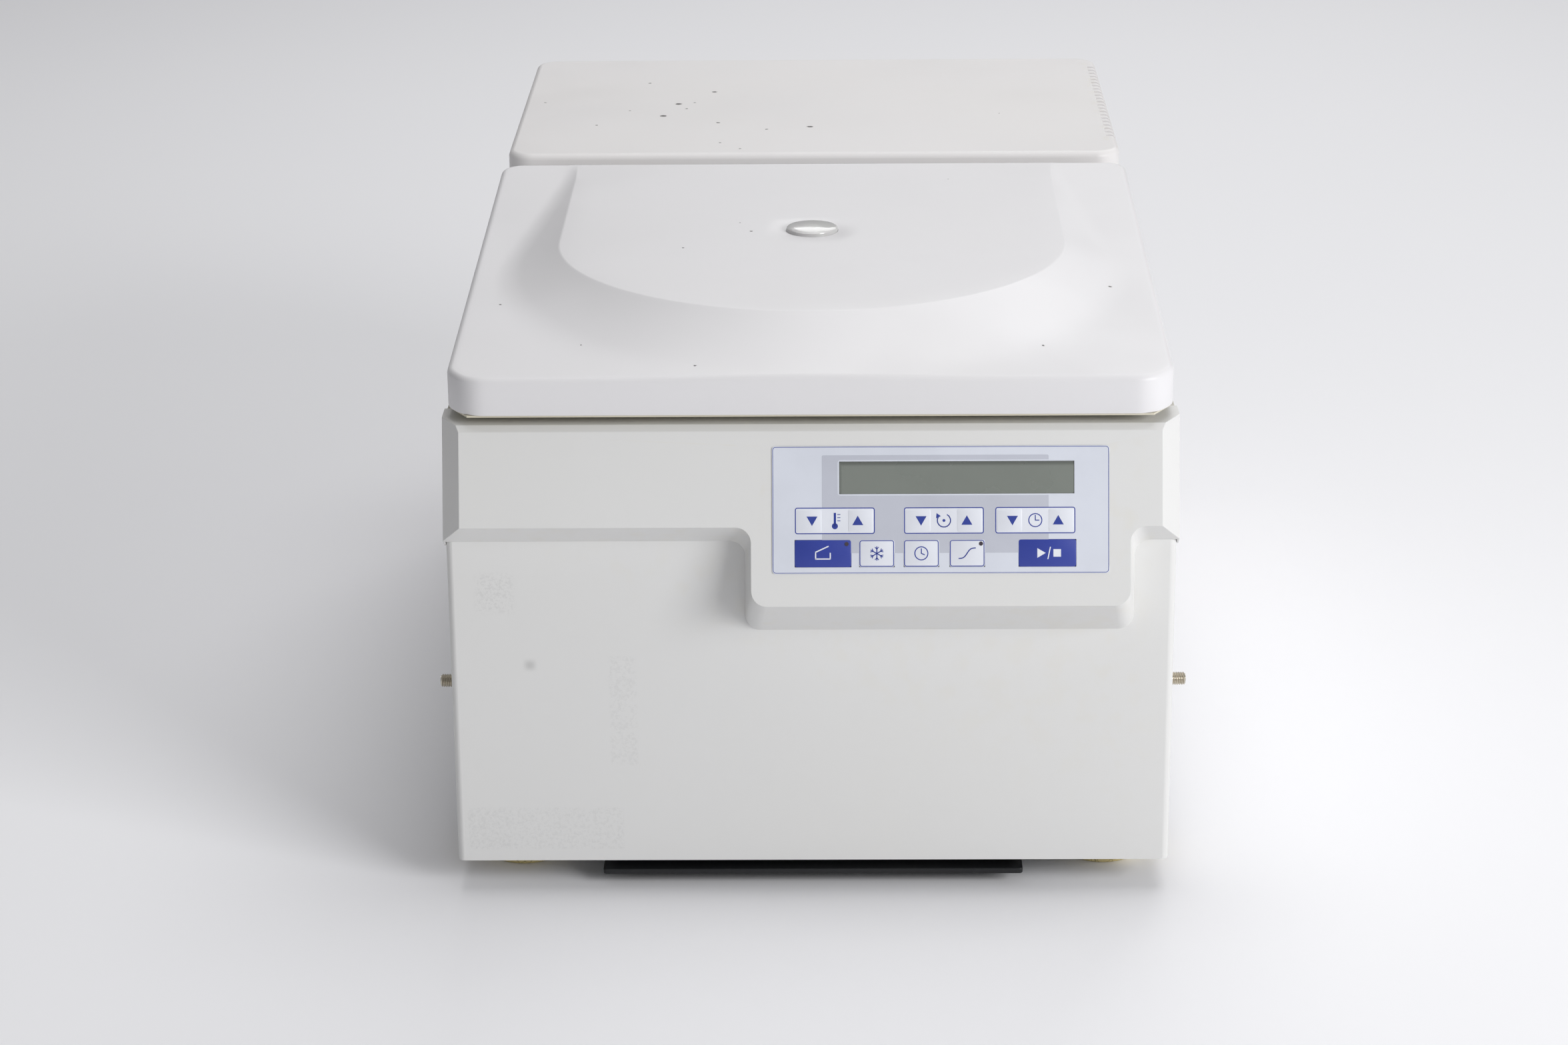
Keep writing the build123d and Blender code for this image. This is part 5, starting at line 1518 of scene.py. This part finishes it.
    def arrow_keys(self, chassis: Chassis, low: float, high: float) -> None:
        """Builds the keys of the upper row, each with its arrow.

        Args:
            chassis: The frame that carries them.
            low: Height of the back of their print.
            high: Height of its front.
        """
        margin, middle = self.arrow_margin, self.upper + self.row_height / 2
        shift, drop = self.arrow_shift
        for word, left in self.arrow_fields:
            right = left + self.field_width - margin - self.arrow_width
            for way, x, side in (("down", left + margin, 1), ("up", right, -1)):
                name, body = f"{word}_{way}_key", f"{word}_{way}_button"
                height = self.row_height - 2 * margin
                cap = self.cap(name, x, self.upper + margin, self.arrow_width, height)
                chassis.fit(cap, body, "key_white", [name])
                turn = 180 if way == "down" else 0
                centre = (x + self.arrow_width / 2 + side * shift, middle - side * drop)
                sign = self.dot(*centre, self.arrow_radius, 3, turn)
                piece = self.printed(f"{word}_{way}_sign", [sign], low, high)
                chassis.fit(piece, body, "ink_blue")

    def keys(self, chassis: Chassis) -> None:
        """Builds every key with its sign.

        Args:
            chassis: The frame that carries them.
        """
        low = self.surface + self.key_lift
        high = low + self.print_height
        self.arrow_keys(chassis, low, high)
        middle = self.lower + self.row_height / 2
        for name, x, width, finish in self.lower_keys:
            body = name.replace("_key", "_button")
            chassis.fit(self.cap(name, x, self.lower, width, self.row_height), body, finish, [name])
            signs = self.signs(name, x + width / 2, middle)
            ink = "ink_white" if finish == "key_blue" else "ink_blue"
            chassis.fit(
                self.printed(name.replace("_key", "_sign"), signs, low, high), body, ink
            )
            if finish == "key_white":
                edge = self.sheet(x, self.lower, width, self.row_height, self.field_corner)
                line = self.printed(name.replace("_key", "_outline"), [self.hollow(edge, 0.35)], low, high)
                chassis.fit(line, body, "ink_blue")
        for name, x in self.lamps:
            spot = self.dot(x, self.lower + self.lamp_drop, self.lamp_radius)
            lamp = self.printed(f"{name}_lamp", [spot], low, high + 0.1)
            chassis.fit(lamp, f"{name}_button", "lamp_dark")

    def signs(self, name: str, x: float, y: float) -> list[bpy.types.Object]:
        """Pictogram of one key of the lower row, drawn about a centre.

        Args:
            name: Name of the key.
            x: Centre on the foil.
            y: Centre on the foil, downwards.

        Returns:
            The flat shapes of the pictogram.
        """
        return {
            "open_key": self.lid_sign,
            "fast_cool_key": self.flake_sign,
            "short_spin_key": self.clock_sign,
            "soft_start_key": self.ramp_sign,
            "start_stop_key": self.start_sign,
        }[name](x, y)

    def lid_sign(self, x: float, y: float) -> list[bpy.types.Object]:
        """A box with its lid open.

        Args:
            x: Centre on the foil.
            y: Centre on the foil, downwards.

        Returns:
            The flat shapes.
        """
        half, low, high, line = 3.0, 2.2, -0.2, 0.5
        return [
            self.bar((x - half, y + low), (x + half, y + low), line),
            self.bar((x - half, y + low), (x - half, y + high), line),
            self.bar((x + half, y + low), (x + half, y + high), line),
            self.bar((x - half, y - 0.6), (x + 2.2, y - 3.0), line),
        ]

    def flake_sign(self, x: float, y: float) -> list[bpy.types.Object]:
        """A snowflake of three bars with barbs.

        Args:
            x: Centre on the foil.
            y: Centre on the foil, downwards.

        Returns:
            The flat shapes.
        """
        reach, root, barb, splay = 2.8, 0.62, 1.1, 0.7
        arms = []
        for k in range(3):
            a = math.pi * k / 3 + 0.52
            c, s = reach * math.cos(a), reach * math.sin(a)
            arms.append(self.bar((x - c, y - s), (x + c, y + s), self.stroke))
            for side in (-1, 1):
                start = (x + side * c * root, y + side * s * root)
                for tilt in (-splay, splay):
                    turn = math.atan2(s, c) + (0 if side > 0 else math.pi) + tilt
                    end = (start[0] + barb * math.cos(turn), start[1] + barb * math.sin(turn))
                    arms.append(self.bar(start, end, 0.34))
        return arms

    def clock_sign(
        self, x: float, y: float, up: float = 1.9, hand: Flat = (1.3, 0.6)
    ) -> list[bpy.types.Object]:
        """A clock with two hands.

        Args:
            x: Centre on the foil.
            y: Centre on the foil, downwards.
            up: Length of the hand that points up.
            hand: Tip of the other hand from the centre.

        Returns:
            The flat shapes of the clock.
        """
        return [
            self.ring(x, y, 2.9, self.stroke),
            self.bar((x, y), (x, y - up), self.stroke),
            self.bar((x, y), (x + hand[0], y + hand[1]), self.stroke),
        ]

    def ramp_sign(self, x: float, y: float) -> list[bpy.types.Object]:
        """A line that rises softly.

        Args:
            x: Centre on the foil.
            y: Centre on the foil, downwards.

        Returns:
            The flat shapes.
        """
        count, run, rise = 10, 6.8, 4.4
        steps = [
            (x + run * (k / count - 0.5), y + rise * (0.5 - 1 / (1 + math.exp(count / 2 - k))))
            for k in range(count + 1)
        ]
        return self.stroked(steps)

    def start_sign(self, x: float, y: float) -> list[bpy.types.Object]:
        """A play triangle, a slash and a stop square.

        Args:
            x: Centre on the foil.
            y: Centre on the foil, downwards.

        Returns:
            The flat shapes.
        """
        return [
            self.dot(x - 3.0, y, 2.3, 3, -90),
            self.bar((x + 0.2, y + 2.4), (x + 1.2, y - 2.4), self.stroke),
            self.dot(x + 4.0, y, 2.2, 4, 45),
        ]

    def stroked(self, points: Sequence[Flat]) -> list[bpy.types.Object]:
        """Printed lines from each point to the next."""
        return [self.bar(a, b, 0.45) for a, b in zip(points, points[1:])]

    def labels(self) -> list[bpy.types.Object]:
        """Pictograms between the arrow keys: thermometer, turning arrow and clock.

        Returns:
            The flat shapes of the pictograms.
        """
        y = self.upper + self.row_height / 2
        heat, turning, clock = (left + self.field_width / 2 for _, left in self.arrow_fields)
        parts = [self.dot(heat, y + 2.2, 1.25, 24), self.bar((heat, y + 2.0), (heat, y - 3.0), 0.95)]
        for k in range(3):
            tick = y - 2.6 + k * 1.3
            parts.append(self.bar((heat + 1.1, tick), (heat + 2.2, tick), 0.3))
        radius = 2.7
        angles = [math.radians(a) for a in range(-60, 211, 15)]
        parts += self.stroked([(turning + radius * math.cos(a), y + radius * math.sin(a)) for a in angles])
        parts += [self.dot(turning - 2.5, y - 1.9, 1.25, 3, 25), self.dot(turning, y, 0.6, 16)]
        return parts + self.clock_sign(clock, y, 2.0, (1.5, 0.0))

    def build(self, chassis: Chassis) -> None:
        """Builds and dresses the control panel.

        Args:
            chassis: The frame that carries it.
        """
        self.measure()
        corners, edges = Rounding(5.0, 6, 25.0, self.corner_edge), Rounding(1.4, 4, rule=self.outer_edge)
        chassis.refine("front_fascia", corners, edges)
        chassis.refine("keypad_foil", Rounding(0.12, 2))
        self.keys(chassis)
        self.foil_print(chassis)
        face = self.printed("display_face", [self.sheet(*self.display, self.display_corner)], -3.0, 0.02)
        chassis.fit(face, "frame", "display", ["display_window"])

    def foil_print(self, chassis: Chassis) -> None:
        """Builds what is printed on the foil, and its rim.

        Args:
            chassis: The frame that carries it.
        """
        top, sunk = self.surface, self.surface - 0.02
        block = self.printed("foil_block", [self.sheet(*self.block, self.block_corner)], sunk, top + 0.02)
        opening = self.sheet(*self.opening, self.opening_corner)
        Workshop.cut(block, self.printed("opening", [opening], top - 1, top + 1))
        chassis.fit(block, "frame", "foil_block")
        boxes = [(left, self.upper, self.field_width, self.row_height) for _, left in self.arrow_fields]
        fields = [self.sheet(*box, self.field_corner) for box in boxes]
        lines = [self.hollow(self.sheet(*box, self.field_corner), 0.4) for box in boxes]
        chassis.fit(self.printed("arrow_key_fields", fields, sunk, top + 0.03), "frame", "key_white")
        width, height = self.foil
        margin, rim = 0.25, self.rim_width
        edge = self.sheet(margin, margin, width - 2 * margin, height - 2 * margin, self.foil_corner)
        lines.append(self.hollow(edge, 0.22))
        whole = self.sheet(0.0, 0.0, width, height, self.foil_corner)
        inside = self.sheet(rim, rim, width - 2 * rim, height - 2 * rim, rim)
        border = self.printed("foil_rim", [whole], 0.0, top + 0.02)
        Workshop.cut(border, self.printed("field", [inside], top - 1, top + 1))
        chassis.fit(border, "frame", "foil")
        for name, parts, low, high in (
            ("foil_outlines", lines, 0.0, 0.05),
            ("foil_labels", self.labels(), 0.02, 0.06),
        ):
            piece = self.printed(name, parts, top + low, top + high)
            chassis.fit(piece, "frame", "ink_blue")

    def corner_edge(self, middle: Vector) -> bool:
        """Whether an edge of the fascia is one of the upright ones at its front corners."""
        ahead = middle.y < self.front + 16.0
        return ahead and abs(middle.x) > self.end - 9.0 and 176 < middle.z < 200

    def outer_edge(self, middle: Vector) -> bool:
        """Whether an edge of the fascia is on its outside, clear of the foil's seat.

        Args:
            middle: Middle point of the edge in millimetres.

        Returns:
            True where the edge is rounded.
        """
        if middle.y > self.front + 25.5:
            return False
        slope = math.tan(math.radians(self.tilt))
        on_face = abs(middle.y - (self.front - (self.edge - middle.z) * slope)) < 0.12
        ahead = self.foil_left - 1.0 < middle.x < self.foil_left + self.foil[0] + 1.0
        return not (on_face and ahead and 145 < middle.z < 203)


# ------------------------------------------------------------------------------------- Case
@dataclass
class Case:
    """Outer case: lower housing, rear cover, back panel, pan and deck."""

    def build(self, chassis: Chassis) -> None:
        """Builds and dresses the case.

        Args:
            chassis: The frame that carries it.
        """
        chassis.refine("front_housing", Rounding(0.5, 2))
        chassis.refine("rear_cover", Rounding(0.35, 2), finish="cover_paint")
        chassis.refine("back_panel", Rounding(0.25, 2))
        chassis.refine("top_deck", Rounding(0.8))
        chassis.refine("base_pan", Rounding(0.3, 2))
        for node in ("mains_inlet", "switch_frame", "switch_rocker"):
            chassis.refine(node, Rounding(0.4))


@dataclass
class Ground:
    """Feet, side studs and condensate tray."""

    foot_x: float = 126.0
    foot_rows: Flat = (-207.003, 227.997)
    foot_profile: tuple[Flat, ...] = (
        (2.6, 14.0), (17.3, 14.0), (17.8, 13.8), (18.0, 13.2), (18.0, 7.2), (17.7, 5.5), (16.7, 1.2),
        (16.2, 0.4), (15.4, 0.0), (7.0, 0.0), (6.3, 0.3), (6.0, 1.0), (6.0, 6.0), (2.6, 6.0),
    )
    stud_radius: float = 2.9
    stud_y: float = -200.003
    stud_z: float = 77.0
    stud_root: float = 142.0
    pitch: float = 1.0
    thread: float = 0.45
    thread_points: int = 28
    thread_rings: int = 10
    nut_radius: float = 6.0
    nut_depth: float = 4.0
    nut_x: float = 144.4

    def stud(self, side: int) -> bpy.types.Object:
        """One threaded stud with its nut, which stands out of a side wall.

        Args:
            side: -1 for the left wall, 1 for the right one.

        Returns:
            The stud.
        """
        count, rows, root = self.thread_points, self.thread_rings, self.stud_root
        tip, y, z = Chassis.span("side_studs", 0)[1], self.stud_y, self.stud_z
        angles = [2 * math.pi * i / count for i in range(count)]
        rings: list[list[Point]] = [[(side * root, y, z)] * count]
        for k in range(int((tip - root) / self.pitch * rows)):
            x = root + k * self.pitch / rows
            ring = []
            for i, a in enumerate(angles):
                phase = (x / self.pitch - i / count) % 1.0
                r = self.stud_radius - self.thread * abs(2 * phase - 1) - max(0.0, x - tip + 0.8) * 0.8
                ring.append((side * x, y + r * math.cos(a), z + r * math.sin(a)))
            rings.append(ring)
        rings.append([(side * tip, y + math.cos(a), z + math.sin(a)) for a in angles])
        rings.append([(side * tip, y, z)] * count)
        screw = Workshop.loft("screw", rings)
        Workshop.rest()
        bpy.ops.mesh.primitive_cylinder_add(
            vertices=6, radius=self.nut_radius * MM, depth=self.nut_depth * MM,
            rotation=(0, math.pi / 2, 0), location=Vector((side * self.nut_x, y, z)) * MM,
        )
        nut = Workshop.named(bpy.context.object, "nut")
        Workshop.edit(nut)
        bpy.ops.mesh.bevel(offset=0.5 * MM, segments=2, affect="EDGES")
        Workshop.rest()
        return Workshop.joined("left_stud" if side < 0 else "right_stud", [screw, nut])

    def build(self, chassis: Chassis) -> None:
        """Builds and dresses what the case stands on.

        Args:
            chassis: The frame that carries it.
        """
        places = [(side * self.foot_x, y) for side in (-1, 1) for y in self.foot_rows]
        for number, place in enumerate(places, 1):
            foot = Workshop.turned(f"foot_{number}", self.foot_profile, place, 48)
            chassis.fit(foot, "frame", "foot_rubber", ["rubber_feet"] if number == 1 else [])
        for side in (-1, 1):
            solids = ["side_studs"] if side < 0 else []
            chassis.fit(self.stud(side), "frame", "stud_steel", solids)
        chassis.refine("drip_tray", Rounding(0.5))
        chassis.refine("tray_rails", Rounding(0.3, 2))
        chassis.refine("foot_screws", Rounding(0.4, 2))


@dataclass
class Works:
    """Rotor chamber, drive, latch, hinges and cooling."""

    widths: tuple[tuple[str, float], ...] = (
        ("chamber_bowl", 0.3), ("chamber_gasket", 0.3), ("shaft_boot", 0.4), ("rotor_body", 0.6),
        ("rotor_nut", 0.5), ("motor_shaft", 0.4), ("motor_body", 0.5), ("motor_plate", 0.3),
        ("motor_mounts", 0.4), ("hinge_brackets", 0.5), ("hinge_pins", 0.4), ("latch_housing", 0.5),
        ("latch_bolt", 0.3), ("latch_motor", 0.6), ("compressor", 0.6), ("compressor_grommets", 0.4),
        ("condenser", 0.0), ("fan_frame", 0.5), ("fan_impeller", 0.2), ("refrigerant_lines", 0.0),
        ("power_board", 0.2), ("control_board", 0.0), ("drain_hose", 0.2), ("chamber_foam", 0.5),
    )

    def build(self, chassis: Chassis) -> None:
        """Builds and dresses the works.

        Args:
            chassis: The frame that carries them.
        """
        for node, width in self.widths:
            chassis.refine(node, *([Rounding(width, 2)] if width else []))


# ------------------------------------------------------------------------------------- Studio
@dataclass(frozen=True)
class Lamp:
    """A soft rectangular lamp: place, target and size in metres, power in watts."""

    name: str
    place: Point
    target: Point
    size: Flat
    power: float

    def hang(self) -> None:
        """Adds the lamp, pointed at its target."""
        Workshop.rest()
        bpy.ops.object.light_add(type="AREA", location=self.place)
        lamp = bpy.context.object
        lamp.name = self.name
        lamp.data.shape = "RECTANGLE"
        lamp.data.size, lamp.data.size_y = self.size
        lamp.data.energy = self.power
        way = Vector(self.target) - Vector(self.place)
        lamp.rotation_euler = way.to_track_quat("-Z", "Y").to_euler()


@dataclass
class Studio:
    """Floor, lamps, air and camera; the camera's place in millimetres, its angles in degrees."""

    camera: Point = (12.5, -1731.3, 692.0)
    pitch: float = 19.51
    yaw: float = 0.91
    roll: float = -0.51
    lens: float = 87.14
    sensor: float = 36.0
    floor_size: float = 14.0
    floor_y: float = 2.5
    floor_tone: Shade = shade(246, 246, 248)
    floor_cloud: Shade = shade(243, 243, 246)
    air_tone: Shade = (0.985, 0.985, 1.0, 1.0)
    air_strength: float = 0.24
    lamps: tuple[Lamp, ...] = (
        Lamp("side_lamp", (1.6, -1.6, 1.0), (0.0, -0.25, 0.15), (1.2, 0.8), 36.0),
        Lamp("top_lamp", (0.2, 0.2, 2.2), (0.0, -0.1, 0.12), (1.6, 1.6), 17.0),
        Lamp("rear_lamp", (0.4, 1.9, 1.7), (0.0, -0.1, 0.12), (1.4, 1.4), 14.0),
    )

    def floor(self) -> None:
        """Lays the pale floor."""
        Workshop.rest()
        bpy.ops.mesh.primitive_plane_add(size=self.floor_size, location=(0, self.floor_y, 0))
        piece = Workshop.named(bpy.context.object, "floor")
        desk = NodeDesk("floor_paper")
        desk.feed("Base Color", desk.mix(desk.noise(600.0), self.floor_tone, self.floor_cloud))
        desk.feed("Roughness", 0.9)
        desk.feed("Specular IOR Level", 0.1)
        desk.relief(desk.noise(2.0), 0.02, 0.1)
        piece.data.materials.append(desk.material)

    def build(self) -> None:
        """Sets up the studio."""
        self.floor()
        world = bpy.data.worlds.new("studio_air")
        bpy.context.scene.world = world
        world.use_nodes = True
        air = world.node_tree.nodes["Background"]
        air.inputs["Color"].default_value = self.air_tone
        air.inputs["Strength"].default_value = self.air_strength
        for lamp in self.lamps:
            lamp.hang()
        turn = (
            Matrix.Rotation(math.radians(self.yaw), 3, "Z")
            @ Matrix.Rotation(math.radians(90 - self.pitch), 3, "X")
            @ Matrix.Rotation(math.radians(self.roll), 3, "Z")
        )
        bpy.ops.object.camera_add(location=Vector(self.camera) * MM, rotation=turn.to_euler())
        camera = bpy.context.object
        camera.name = "studio_camera"
        camera.data.sensor_width = self.sensor
        camera.data.lens = self.lens
        bpy.context.scene.camera = camera
        bpy.context.scene.view_settings.view_transform = "Standard"


def main() -> None:
    """Builds the whole model in order."""
    logging.basicConfig(level=logging.INFO, format="%(message)s")
    chassis = Chassis.loaded()
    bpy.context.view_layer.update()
    Studio().build()
    for part in (Lid(), Panel(), Case(), Ground(), Works()):
        LOG.info("building %s", type(part).__name__)
        part.build(chassis)
    chassis.dress_rest()
    Workshop.rest()
    LOG.info("%d pieces", chassis.pieces)


if __name__ == "__main__":
    main()
